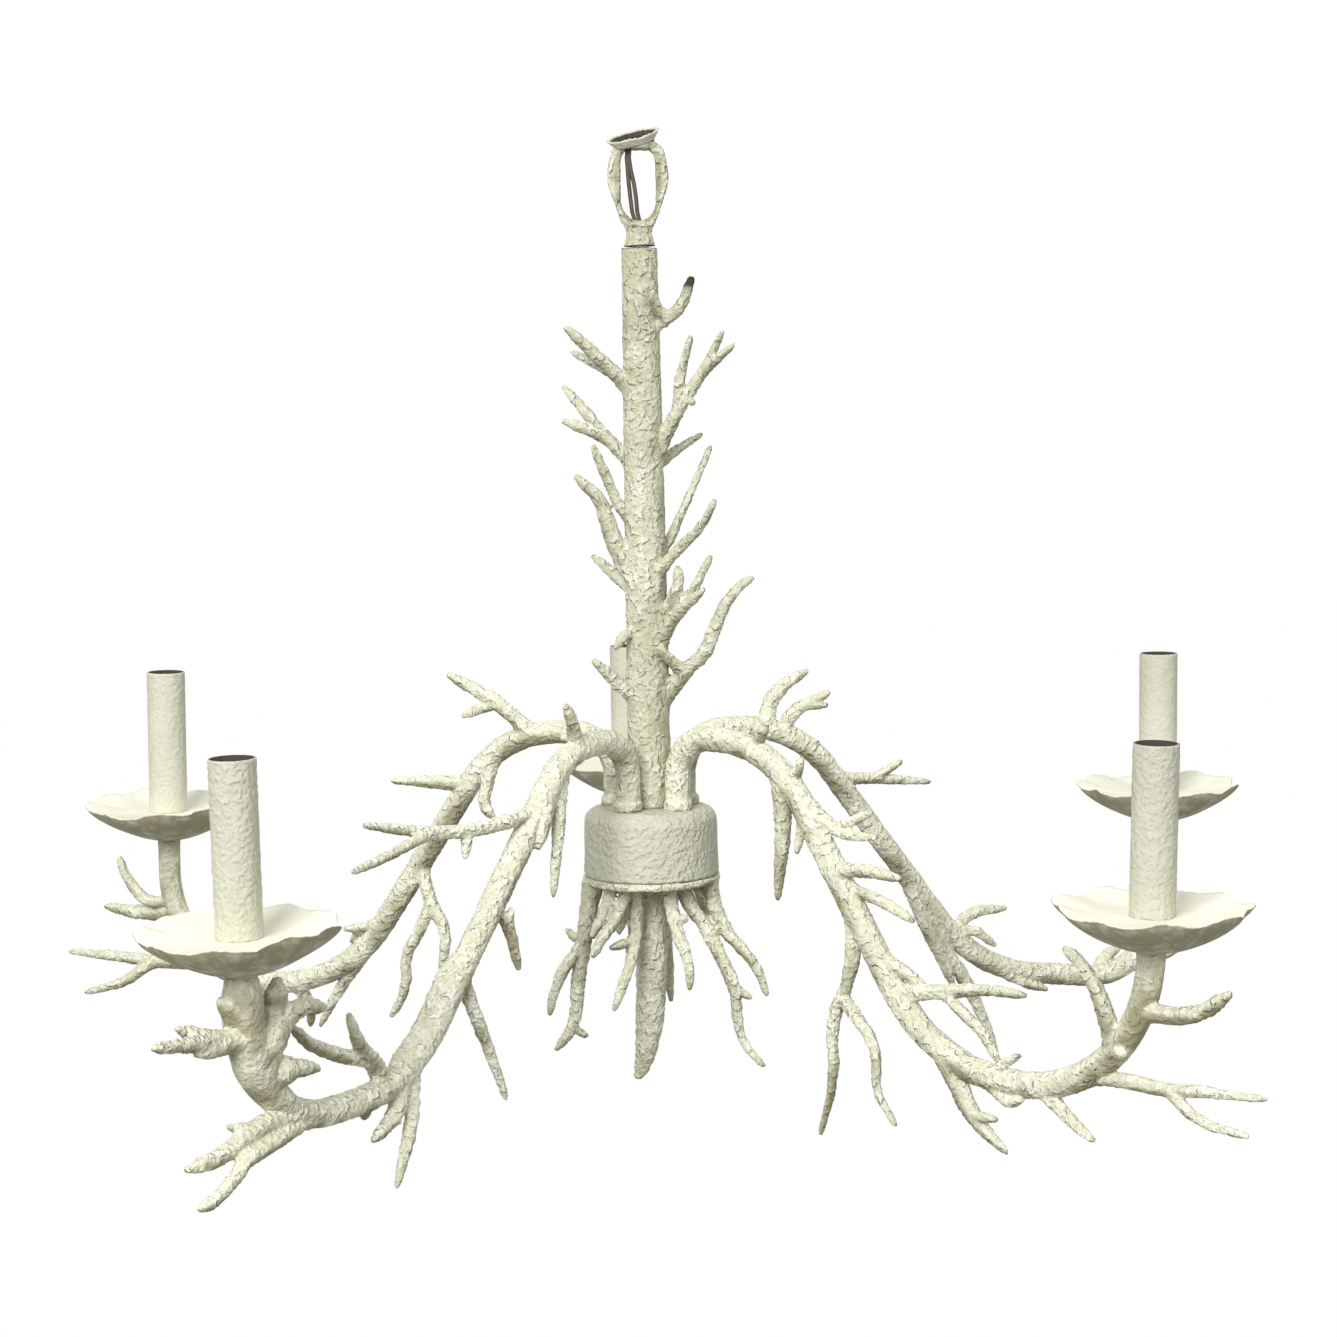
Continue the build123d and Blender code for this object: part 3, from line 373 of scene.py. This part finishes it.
def crust_height(point):
    """Worms and lumps of the coral crust at a point, each from 0 to 1."""
    worm_place = point / WORM_SIZE
    worm_place = worm_place + noise.noise_vector(worm_place * 0.45) * 0.9
    worm = 1 - min(1, abs(noise.noise(worm_place)) * 5.5)
    lump = 0.5 + 0.5 * noise.noise(point / LUMP_SIZE) + 0.25 * noise.noise(point / LUMP_SIZE * 2.3)
    return worm, lump


def wash_and_underside_shade_at(point, normal):
    """How much brown wash and painted shade lie at a point: painted shade on faces that look down, in wash
    patches.
    """
    # Painted shade: faces that look down are darker, broken into wash patches
    underside_shade = max(0, 0.26 - 0.75 * normal[2])
    patch = 0.9 + 2.3 * noise.noise(point / 0.034) + 1.3 * noise.noise(point / 0.010)
    return min(WASH_AND_SHADE_MOST, underside_shade * max(0, patch))


def crust_at(point):
    """How much of the crust a point keeps: little on the smooth risers under the dishes."""
    if point.z > RISER_TOP:
        return 1
    away = min(math.hypot(point.x - floor.x, point.y - floor.y) for floor in FLOORS.values())
    share = min(1, max(0, (away - RISER_SMOOTH_RADIUS) / RISER_ROUGH_SPAN))
    return RISER_CRUST + (1 - RISER_CRUST) * share


def calyx_lift(point):
    """Height of the torn calyx over the column at a point."""
    if math.hypot(point.x, point.y) > CALYX_RADIUS:
        return 0
    turn = Vector((point.x, point.y, 0)).normalized()
    lip = CALYX_Z + 0.007 * noise.noise(turn * 2.1) + 0.003 * noise.noise(turn * 7.3)
    below = lip - point.z
    return CALYX_LIFT * max(0, 1 - below / CALYX_LENGTH) if below > 0 else 0


def thinness(mesh, points, normals):
    """How thin the branch is under each vertex: 0 where it is thick, near 1 at its tips."""
    tree = BVHTree.FromPolygons(points, [face.vertices[:] for face in mesh.polygons])
    thin = []
    for point, normal in zip(points, normals):
        inward = -Vector(normal)
        distance = tree.ray_cast(point + inward * 0.0003, inward, THIN_BRANCH)[3]
        thin.append(0 if distance is None else 1 - distance / THIN_BRANCH)
    return np.array(thin)


def tip_stains(points):
    """How brown the tips of the twigs are: dark on some and bare on the others."""
    return np.array([min(2.8, max(0, 0.6 + 9 * noise.noise(point / 0.06))) for point in points])


def riser_lift(point):
    """The thicker crust round the front left riser."""
    floor = FLOORS["front_left"]
    below = floor.z - point.z
    centre = floor - Vector((floor.x, floor.y, 0)).normalized() * max(0, below - 0.02) * RISER_SLANT
    away = math.hypot(point.x - centre.x, point.y - centre.y)
    span = min(1, max(0, (below - 0.019) / 0.015)) * min(1, max(0, (0.105 - below) / 0.03))
    return RISER_LIFT * span * min(1, max(0, (0.020 - away) / 0.007))


def trunk_lift(point):
    """How far the crust of the bare trunk lies inside the solid: most at its top."""
    if math.hypot(point.x, point.y) > TRUNK_RADIUS:
        return 0
    return -TRUNK_DEPTH * min(1, max(0, (point.z - TRUNK_FOOT) / (TRUNK_TOP - TRUNK_FOOT)))


def yoke_lift(point):
    """How far the waist and the neck of the yoke lie inside the solid."""
    waist = YOKE_WAIST * math.exp(-((point.z - YOKE_WAIST_Z) / YOKE_WAIST_SPAN) ** 2)
    return -waist - NECK_DEPTH * (point.z < NECK_TOP)


def yoke_stain_and_shade(point, normal):
    """Painted shade on the inner faces of the yoke, painted shadow inside its collar, a dark joint at its foot,
    and wash patches elsewhere.
    """
    # Painted shadow on the seat inside the collar above, and the dark joint below
    if not YOKE_JOINT_Z <= point.z <= YOKE_SEAT_Z:
        return 1
    inward = normal[0] * point.x < 0 and abs(point.x) < WINDOW_REACH
    patches = noise.noise(point / 0.008)
    # Painted shade on the inner faces of the window between the struts, in patches
    if inward and WINDOW_FOOT < point.z < WINDOW_TOP:
        return min(WASH_AND_SHADE_MOST, 0.65 + 0.5 * patches)
    return 0.22 + 0.4 * patches


def on_top_twig(point):
    """Whether a point of the column lies on its highest twig."""
    return point.x > TOP_TWIG_X and point.z > TOP_TWIG_Z


def column_lift(point):
    """What the calyx, the slimmer trunk and the thicker highest twig add to the column's crust."""
    return calyx_lift(point) + trunk_lift(point) + TOP_TWIG_LIFT * on_top_twig(point)


def column_stain_and_shade(point, normal):
    """The wash and painted underside shade of the column, with the dark joint at its top and a browned highest
    twig.
    """
    if point.z > JOINT_Z:
        return 1
    if on_top_twig(point):
        return min(1, TOP_TWIG_WASH + max(0, (point.z - TOP_RUST_Z) / TOP_RUST_SPAN))
    return wash_and_underside_shade_at(point, normal) * 0.8


def spike_stain_and_shade(point, normal):
    """The lighter wash and painted underside shade of the spike."""
    return wash_and_underside_shade_at(point, normal) * 0.45


def no_stain(point, normal):
    """The bare paint of the hub."""
    return 0


# Forms without twigs, and what is added to the crust of single forms
TWIGLESS = ("hub_cup", "hanging_yoke")
EXTRA_LIFTS = {"arm_front_left": riser_lift, "column": column_lift, "hanging_yoke": yoke_lift}


def remeshed(node, voxel, rounds):
    """A voxel remesh of a CAD node, with its corners softened."""
    source = bpy.data.objects.new("source", frame["nodes"][node].data.copy())
    bpy.context.scene.collection.objects.link(source)
    remesh = source.modifiers.new("remesh", "REMESH")
    remesh.mode = "VOXEL"
    remesh.voxel_size = voxel
    remesh.use_smooth_shade = True
    soften = source.modifiers.new("soften", "SMOOTH")
    soften.factor = 0.5
    soften.iterations = rounds
    mesh = bpy.data.meshes.new_from_object(source.evaluated_get(bpy.context.evaluated_depsgraph_get()))
    bpy.data.objects.remove(source)
    return mesh


def coated(mesh, wash_and_shade, crust):
    """Stores how much wash with painted shade and how much crust each vertex of a mesh has."""
    for name, values in (("wash_and_shade", wash_and_shade), ("crust", crust)):
        layer = mesh.attributes.new(name, "FLOAT", "POINT")
        layer.data.foreach_set("value", np.clip(values, 0, 1).astype(np.float32))


def encrust(node, name, material, strength=1.0, rounds=SOFTEN_ROUNDS, stain_and_shade=wash_and_underside_shade_at):
    """The coral form of a CAD node: remeshed, softened and covered with the crust."""
    mesh = remeshed(node, YOKE_VOXEL if node == "hanging_yoke" else CORAL_VOXEL, rounds)
    count = len(mesh.vertices)
    places = np.empty(count * 3)
    mesh.vertices.foreach_get("co", places)
    places = places.reshape(-1, 3)
    normals = np.empty(count * 3)
    mesh.vertex_normals.foreach_get("vector", normals)
    normals = normals.reshape(-1, 3)
    points = [Vector(place) for place in places]
    heights = np.array([crust_height(point) for point in points])
    crust = np.array([crust_at(point) for point in points])
    lift = ((heights[:, 0] - 0.35) * WORM_HEIGHT + (heights[:, 1] - 0.5) * LUMP_HEIGHT) * strength * crust
    # The stain function lays on brown wash and painted underside shade
    wash_and_shade = np.array([stain_and_shade(point, normal) for point, normal in zip(points, normals)])
    if node not in TWIGLESS:
        thin = thinness(mesh, points, normals)
        lift = lift * (1 - THIN_SMOOTHNESS * thin) + TWIG_LIFT * thin
        wash_and_shade = np.maximum(wash_and_shade, np.clip(thin - TIP_START, 0, TIP_SPAN) * tip_stains(points))
    if node in EXTRA_LIFTS:
        lift += np.array([EXTRA_LIFTS[node](point) for point in points])
    places += normals * lift[:, None]
    mesh.vertices.foreach_set("co", places.ravel())
    # The smooth risers under the dishes are painted darker
    wash_and_shade = np.maximum(wash_and_shade, np.minimum(WASH_AND_SHADE_MOST, wash_and_shade + (1 - crust) * RISER_DARKENING))
    coated(mesh, wash_and_shade, crust)
    mesh.update()
    return show(name, mesh, material, frame_body(node), "stucco", node)


def frame_body(node):
    """The body that a CAD node belongs to."""
    return next(body for body, nodes in frame["record"]["behaviour"]["bodies"].items() if node in nodes)


def revolved(profile, steps, shape):
    """A closed mesh from a closed profile of (radius, height), bent by shape(ring, angle)."""
    angles = np.arange(steps) * 2 * math.pi / steps
    rings = np.array([shape(np.array(profile), angle) for angle in angles])
    rings = rings.reshape(-1, 3)
    across = len(profile)
    faces = []
    for step in range(steps):
        for index in range(across):
            here, there = step * across, (step + 1) % steps * across
            after = (index + 1) % across
            faces.append((here + index, there + index, there + after, here + after))
    mesh = bpy.data.meshes.new("revolved")
    mesh.from_pydata(rings.tolist(), [], faces)
    mesh.shade_smooth()
    return mesh


def candle_frame(arm):
    """The frame of an arm's candle: its origin is on the dish's floor, +Z runs up the sleeve."""
    joint = next(j for j in frame["joints"] if j["name"] == f"sleeve_{arm}_lift")
    upward = Vector(joint["axis"]).normalized()
    low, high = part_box(f"sleeve_{arm}")
    middle = (Vector(low) + Vector(high)) / 2
    floor = middle - upward * (SLEEVE_HEIGHT / 2)
    toward = math.atan2(floor.y, floor.x)
    outward = Vector((math.cos(toward), math.sin(toward), 0))
    sideways = upward.cross(outward).normalized()
    return Matrix((sideways.cross(upward), sideways, upward)).transposed().to_4x4(), floor


def placed(mesh, arm):
    """Moves a mesh from the candle's frame to the part's frame."""
    turn, floor = candle_frame(arm)
    mesh.transform(Matrix.Translation(floor) @ turn)
    return mesh


def make_dish(arm, index, material):
    """Scalloped dish with a thin uneven rim and a smooth belly, its rim edge and underside painted dark as shade.
    """
    rise = DISH_RIM_RISE
    flare = DISH_RADIUS - DISH_FLOOR_RADIUS
    profile = [(DISH_HOLE_RADIUS, 0)]
    profile += [(radius, 0) for radius in np.linspace(0.008, DISH_FLOOR_RADIUS, 6)]
    for share in np.linspace(0.08, 1, 16):
        profile.append((DISH_FLOOR_RADIUS + flare * share, rise * share ** 1.7))
    edge = len(profile)
    profile.append((DISH_RADIUS + 0.0004, rise - DISH_EDGE * 0.5))
    profile.append((DISH_RADIUS - 0.0002, rise - DISH_EDGE * 1.1))
    belly = len(profile)
    belly_reach = DISH_RADIUS - DISH_NECK_RADIUS - 0.0005
    belly_top = rise - DISH_EDGE * 1.3
    for share in np.linspace(0.06, 1, 16):
        turn = share * math.pi / 2
        radius = DISH_NECK_RADIUS + belly_reach * math.cos(turn) ** 1.45
        profile.append((radius, belly_top - (DISH_DEPTH + belly_top) * math.sin(turn) ** 1.55))
    socket_top = DISH_SOCKET_DEPTH - DISH_DEPTH
    profile.append((DISH_RISER_RADIUS, -DISH_DEPTH))
    profile += [(DISH_RISER_RADIUS, socket_top), (DISH_HOLE_RADIUS, socket_top)]

    def shape(ring, angle):
        weight = np.clip((ring[:, 0] - DISH_FLOOR_RADIUS) / flare, 0, 1) ** 1.6
        step = angle * DISH_LOBES / math.pi
        lobe = math.cos(math.pi * step) - 0.4 * math.sin(step * 2.4)
        radii = ring[:, 0] + weight * DISH_LOBE_REACH * lobe
        wave = noise.noise(Vector((math.cos(angle) * 1.6, math.sin(angle) * 1.6, index * 3.7)))
        ruffle = noise.noise(Vector((math.cos(angle) * 9, math.sin(angle) * 9, index * 5.1)))
        heights = ring[:, 1] + weight * DISH_WAVE * (math.cos(math.pi * step + 1.2) * 0.7 + wave * 2.2)
        chips = noise.noise(Vector((math.cos(angle) * 26, math.sin(angle) * 26, index * 2.3)))
        heights += weight ** 3 * (ruffle * 0.0007 + chips * 0.0005)
        return np.stack((radii * math.cos(angle), radii * math.sin(angle), heights), axis=1)

    mesh = placed(revolved(profile, DISH_STEPS, shape), arm)
    # Painted shade: the rim edge, belly and foot of the dish are darker, the top is bare
    wash_and_shade = np.zeros(len(profile))
    wash_and_shade[edge:belly] = DISH_EDGE_SHADE
    wash_and_shade[belly:belly + DISH_BELLY_RINGS] = DISH_BELLY_SHADE
    wash_and_shade[belly + DISH_BELLY_RINGS:] = DISH_FOOT_SHADE
    mottle = []
    for corner in mesh.vertices:
        mottle.append(0.75 + 0.5 * noise.noise(corner.co / 0.009) + 0.35 * noise.noise(corner.co / 0.003))
    wash_and_shade = np.minimum(WASH_AND_SHADE_MOST, np.tile(wash_and_shade, DISH_STEPS) * np.array(mottle))
    coated(mesh, wash_and_shade, np.ones(len(mesh.vertices)))
    return show(f"scalloped_dish_{arm}", mesh, material, "frame", "stucco", f"dish_{arm}")


def make_sleeve(arm, index, material):
    """Candle sleeve with a rough coat outside and a thin smooth mouth, painted near-black inside as shade."""
    inner = SLEEVE_RADIUS - SLEEVE_WALL
    tall = np.linspace(0, SLEEVE_HEIGHT, SLEEVE_TALL_STEPS)
    profile = [(inner, height) for height in (SLEEVE_HEIGHT, SLEEVE_HEIGHT / 2, 0)]
    outside = len(profile)
    profile.append((SLEEVE_RADIUS - 0.0002, 0))
    profile += [(SLEEVE_RADIUS - 0.0003, height) for height in tall[1:-1]]
    profile.append((SLEEVE_RADIUS - 0.0005, SLEEVE_HEIGHT))
    coat = SLEEVE_ROUGHNESS if arm.startswith("front") else SLEEVE_ROUGHNESS * SLEEVE_BACK_SHARE

    def shape(ring, angle):
        way = Vector((math.cos(angle), math.sin(angle), 0))
        places = []
        for radius, height in ring:
            if radius > inner + 0.0001:
                worm, lump = crust_height(Vector((way.x * radius, way.y * radius, height + index)))
                radius += (worm - 0.7) * coat * 1.4 + (lump - 0.5) * coat
            places.append((way.x * radius, way.y * radius, height))
        return places

    mesh = placed(revolved(profile, SLEEVE_ROUND_STEPS, shape), arm)
    # Painted shade: the inside of the sleeve is near-black; the outside browns towards the top
    wash_and_shade = np.ones(len(profile))
    wash_and_shade[outside:] = [SLEEVE_SHADE * height / SLEEVE_HEIGHT for radius, height in profile[outside:]]
    coated(mesh, np.tile(wash_and_shade, SLEEVE_ROUND_STEPS), np.ones(len(mesh.vertices)))
    return show(f"rough_sleeve_{arm}", mesh, material, f"sleeve_{arm}", "sleeve", f"sleeve_{arm}")


def make_supply_wire(material):
    """The supply lead as two cores that part below the boss and run down the pipe."""
    corners = []
    for side in (-1, 1):
        for x, z, apart in WIRE_ROUTE:
            centre = x + side * WIRE_RADIUS * apart
            for step in range(WIRE_SIDES):
                turn = step * 2 * math.pi / WIRE_SIDES
                corners.append((centre + WIRE_RADIUS * math.cos(turn), WIRE_RADIUS * math.sin(turn), z))
    faces = []
    for core in (0, 1):
        first = core * len(WIRE_ROUTE) * WIRE_SIDES
        last = first + (len(WIRE_ROUTE) - 1) * WIRE_SIDES
        for ring in range(first, last, WIRE_SIDES):
            for step in range(WIRE_SIDES):
                here = ring + step
                there = ring + (step + 1) % WIRE_SIDES
                faces.append((here, here + WIRE_SIDES, there + WIRE_SIDES, there))
        faces.append(tuple(range(first, first + WIRE_SIDES)))
        faces.append(tuple(range(last + WIRE_SIDES - 1, last - 1, -1)))
    mesh = bpy.data.meshes.new("wire")
    mesh.from_pydata(corners, [], faces)
    mesh.shade_smooth()
    show("two_core_supply_wire", mesh, material, "frame", "wire", "supply_lead")


def make_collar(material):
    """The loose flared ring, leaning to the left and to the viewer, painted near-black inside as shadow."""
    flare = COLLAR_TOP_RADIUS - COLLAR_FOOT_RADIUS
    shares = np.linspace(0, 1, 7)
    outside = [(COLLAR_FOOT_RADIUS + flare * share, COLLAR_HEIGHT * share) for share in shares]
    inside = [(radius - COLLAR_WALL, height) for radius, height in reversed(outside)]
    lip = (COLLAR_TOP_RADIUS - COLLAR_WALL / 2, COLLAR_HEIGHT + 0.0004)
    profile = outside + [lip] + inside

    def shape(ring, angle):
        way = Vector((math.cos(angle), math.sin(angle), 0))
        dent = 0.0007 * noise.noise(way * 2.3)
        chips = 0.0006 * noise.noise(way * 9.1)
        radii = ring[:, 0] + dent * ring[:, 1] / COLLAR_HEIGHT
        heights = ring[:, 1] * (1 + (dent + chips) / COLLAR_HEIGHT)
        return np.stack((radii * way.x, radii * way.y, heights), axis=1)

    mesh = revolved(profile, COLLAR_STEPS, shape)
    lean = Matrix.Rotation(-COLLAR_LEFT, 4, "Y") @ Matrix.Rotation(COLLAR_FRONT, 4, "X")
    mesh.transform(Matrix.Translation(COLLAR_PLACE) @ lean)
    # Painted shadow: the inner wall of the collar is near-black
    wash_and_shade = np.zeros(len(profile))
    wash_and_shade[len(outside) + 2:] = 1
    coated(mesh, np.tile(wash_and_shade, COLLAR_STEPS), np.ones(len(mesh.vertices)))
    show("cast_collar", mesh, material, "frame", "stucco", "collar_ring")


def make_camera():
    """The camera of the photograph."""
    yaw, pitch, roll = (math.radians(angle) for angle in (CAMERA_YAW, CAMERA_PITCH, CAMERA_ROLL))
    ahead = Vector((math.sin(yaw) * math.cos(pitch), math.cos(yaw) * math.cos(pitch), math.sin(pitch)))
    level = Vector((math.cos(yaw), -math.sin(yaw), 0))
    above = level.cross(ahead)
    right = level * math.cos(roll) + above * math.sin(roll)
    up = above * math.cos(roll) - level * math.sin(roll)
    data = bpy.data.cameras.new("camera")
    data.sensor_width = 36
    data.lens = FOCAL_PIXELS / IMAGE_SIDE * data.sensor_width
    data.shift_y = -CENTRE_RISE_PIXELS / IMAGE_SIDE
    camera = bpy.data.objects.new("camera", data)
    turn = Matrix((right, up, -ahead)).transposed().to_4x4()
    camera.matrix_world = Matrix.Translation(CAMERA_PLACE) @ turn
    bpy.context.scene.collection.objects.link(camera)
    bpy.context.scene.camera = camera


def lamp(name, place, watts):
    """A soft square lamp that faces the object."""
    data = bpy.data.lights.new(name, "AREA")
    data.size = LAMP_SIZE
    data.energy = watts
    piece = bpy.data.objects.new(name, data)
    piece.location = place
    piece.rotation_euler = (LAMP_AIM - Vector(place)).to_track_quat("-Z", "Y").to_euler()
    bpy.context.scene.collection.objects.link(piece)


def seen_white(tree, plain, whiteness):
    """A shader that the camera and reflections see as white while light meets the plain one."""
    path = tree.nodes.new("ShaderNodeLightPath")
    both = tree.nodes.new("ShaderNodeMath")
    both.operation = "MAXIMUM"
    tree.links.new(path.outputs["Is Camera Ray"], both.inputs[0])
    tree.links.new(path.outputs["Is Glossy Ray"], both.inputs[1])
    white = tree.nodes.new("ShaderNodeEmission" if plain.type != "BACKGROUND" else "ShaderNodeBackground")
    white.inputs["Color"].default_value = (1, 1, 1, 1)
    white.inputs["Strength"].default_value = 1.02
    share = tree.nodes.new("ShaderNodeMath")
    share.operation = "MULTIPLY"
    share.inputs[1].default_value = whiteness
    tree.links.new(both.outputs[0], share.inputs[0])
    mix = tree.nodes.new("ShaderNodeMixShader")
    tree.links.new(share.outputs[0], mix.inputs["Fac"])
    tree.links.new(plain.outputs[0], mix.inputs[1])
    tree.links.new(white.outputs[0], mix.inputs[2])
    return mix


def make_studio():
    """White world, pale floor far below, and soft lamps from above."""
    world = bpy.data.worlds.new("studio")
    bpy.context.scene.world = world
    world.use_nodes = True
    tree = world.node_tree
    plain = tree.nodes["Background"]
    way = tree.nodes.new("ShaderNodeTexCoord")
    split = tree.nodes.new("ShaderNodeSeparateXYZ")
    tree.links.new(way.outputs["Generated"], split.inputs[0])
    rise = tree.nodes.new("ShaderNodeMapRange")
    tree.links.new(split.outputs["Z"], rise.inputs["Value"])
    for name, value in (("From Min", -1), ("From Max", 1), ("To Min", SKY_BELOW), ("To Max", SKY_ABOVE)):
        rise.inputs[name].default_value = value
    plain.inputs["Color"].default_value = SKY_TINT
    tree.links.new(rise.outputs[0], plain.inputs["Strength"])
    mix = seen_white(tree, plain, 1.0)
    tree.links.new(mix.outputs[0], tree.nodes["World Output"].inputs["Surface"])

    floor_mesh = bpy.data.meshes.new("floor")
    corners = ((-1, -1), (1, -1), (1, 1), (-1, 1))
    places = [(x * FLOOR_REACH, y * FLOOR_REACH, FLOOR_Z) for x, y in corners]
    floor_mesh.from_pydata(places, [], [(0, 1, 2, 3)])
    floor = bpy.data.objects.new("floor", floor_mesh)
    bpy.context.scene.collection.objects.link(floor)
    material = bpy.data.materials.new("floor")
    material.use_nodes = True
    tree = material.node_tree
    shader = tree.nodes["Principled BSDF"]
    shader.inputs["Base Color"].default_value = FLOOR_COLOUR
    shader.inputs["Roughness"].default_value = 0.9
    mix = seen_white(tree, shader, FLOOR_WHITENESS)
    tree.links.new(mix.outputs[0], tree.nodes["Material Output"].inputs["Surface"])
    floor_mesh.materials.append(material)

    for name, place, watts in LAMPS:
        lamp(name, place, watts)
    bpy.context.scene.view_settings.view_transform = "Standard"


noise.seed_set(CRUST_SEED)
make_camera()
make_studio()

# Floors of the dishes, by arm
FLOORS = {arm: candle_frame(arm)[1] for arm in ARMS}

# Paints, with the heights of their worms, bumps and grain in metres, and the bare hardware
coral = plaster("coral_paint", 0.0010, 0.0007, 0.00008)
trunk = plaster("trunk_paint", 0.0011, 0.0006, 0.00008, tone=(0.85, 0.855, 0.835, 1))
casting = plaster("cast_paint", 0.0002, 0.0008, 0.00010, 0.2, (0.69, 0.69, 0.67, 1))
dish_paint = plaster("dish_paint", 0.00008, 0.00010, 0.00008, 0.05, (0.94, 0.94, 0.94, 1))
rough_sleeve = plaster("rough_sleeve_paint", 0.00008, 0.0005, 0.0002, 0.15, (0.67, 0.67, 0.65, 1))
smooth_sleeve = plaster("smooth_sleeve_paint", 0.00010, 0.0003, 0.00008, 0.1, (0.75, 0.75, 0.73, 1))
zinc = hardware("zinc", (0.45, 0.45, 0.43, 1), (0.6, 0.6, 0.57, 1), 0.9, 0.42, 400.0)
socket_shell = hardware("socket_shell", (0.018, 0.016, 0.014, 1), (0.05, 0.045, 0.04, 1), 0.0, 0.55, 300.0)
block_shell = hardware("block_shell", (0.55, 0.53, 0.48, 1), (0.68, 0.66, 0.6, 1), 0.0, 0.5, 300.0)
insulation = hardware("insulation", (0.035, 0.028, 0.016, 1), (0.085, 0.068, 0.040, 1), 0.0, 0.5, 250.0)

# The coral forms, the collar, the dishes with their sleeves, and the wire
for arm in ARMS:
    encrust(f"arm_{arm}", f"coral_arm_{arm}", coral)
encrust("column", "coral_column", trunk, stain_and_shade=column_stain_and_shade)
encrust("root_cover", "coral_roots", coral)
encrust("finial_spike", "coral_spike", coral, stain_and_shade=spike_stain_and_shade)
encrust("hub_cup", "cast_hub", casting, strength=0.3, rounds=3, stain_and_shade=no_stain)
encrust("hanging_yoke", "cast_yoke", trunk, strength=0.6, rounds=6, stain_and_shade=yoke_stain_and_shade)
make_collar(smooth_sleeve)
for index, arm in enumerate(ARMS):
    make_dish(arm, index, dish_paint)
    make_sleeve(arm, index, rough_sleeve if arm.startswith("front") else smooth_sleeve)
make_supply_wire(insulation)

# Finishes of the pieces that keep their solids
finishes = {"zinc": zinc, "socket": socket_shell, "block": block_shell, "wire": insulation}
for part in frame["record"]["subparts"]:
    if part["material_slot"] in finishes:
        for held in frame["nodes"][part["node"]].material_slots:
            held.material = finishes[part["material_slot"]]
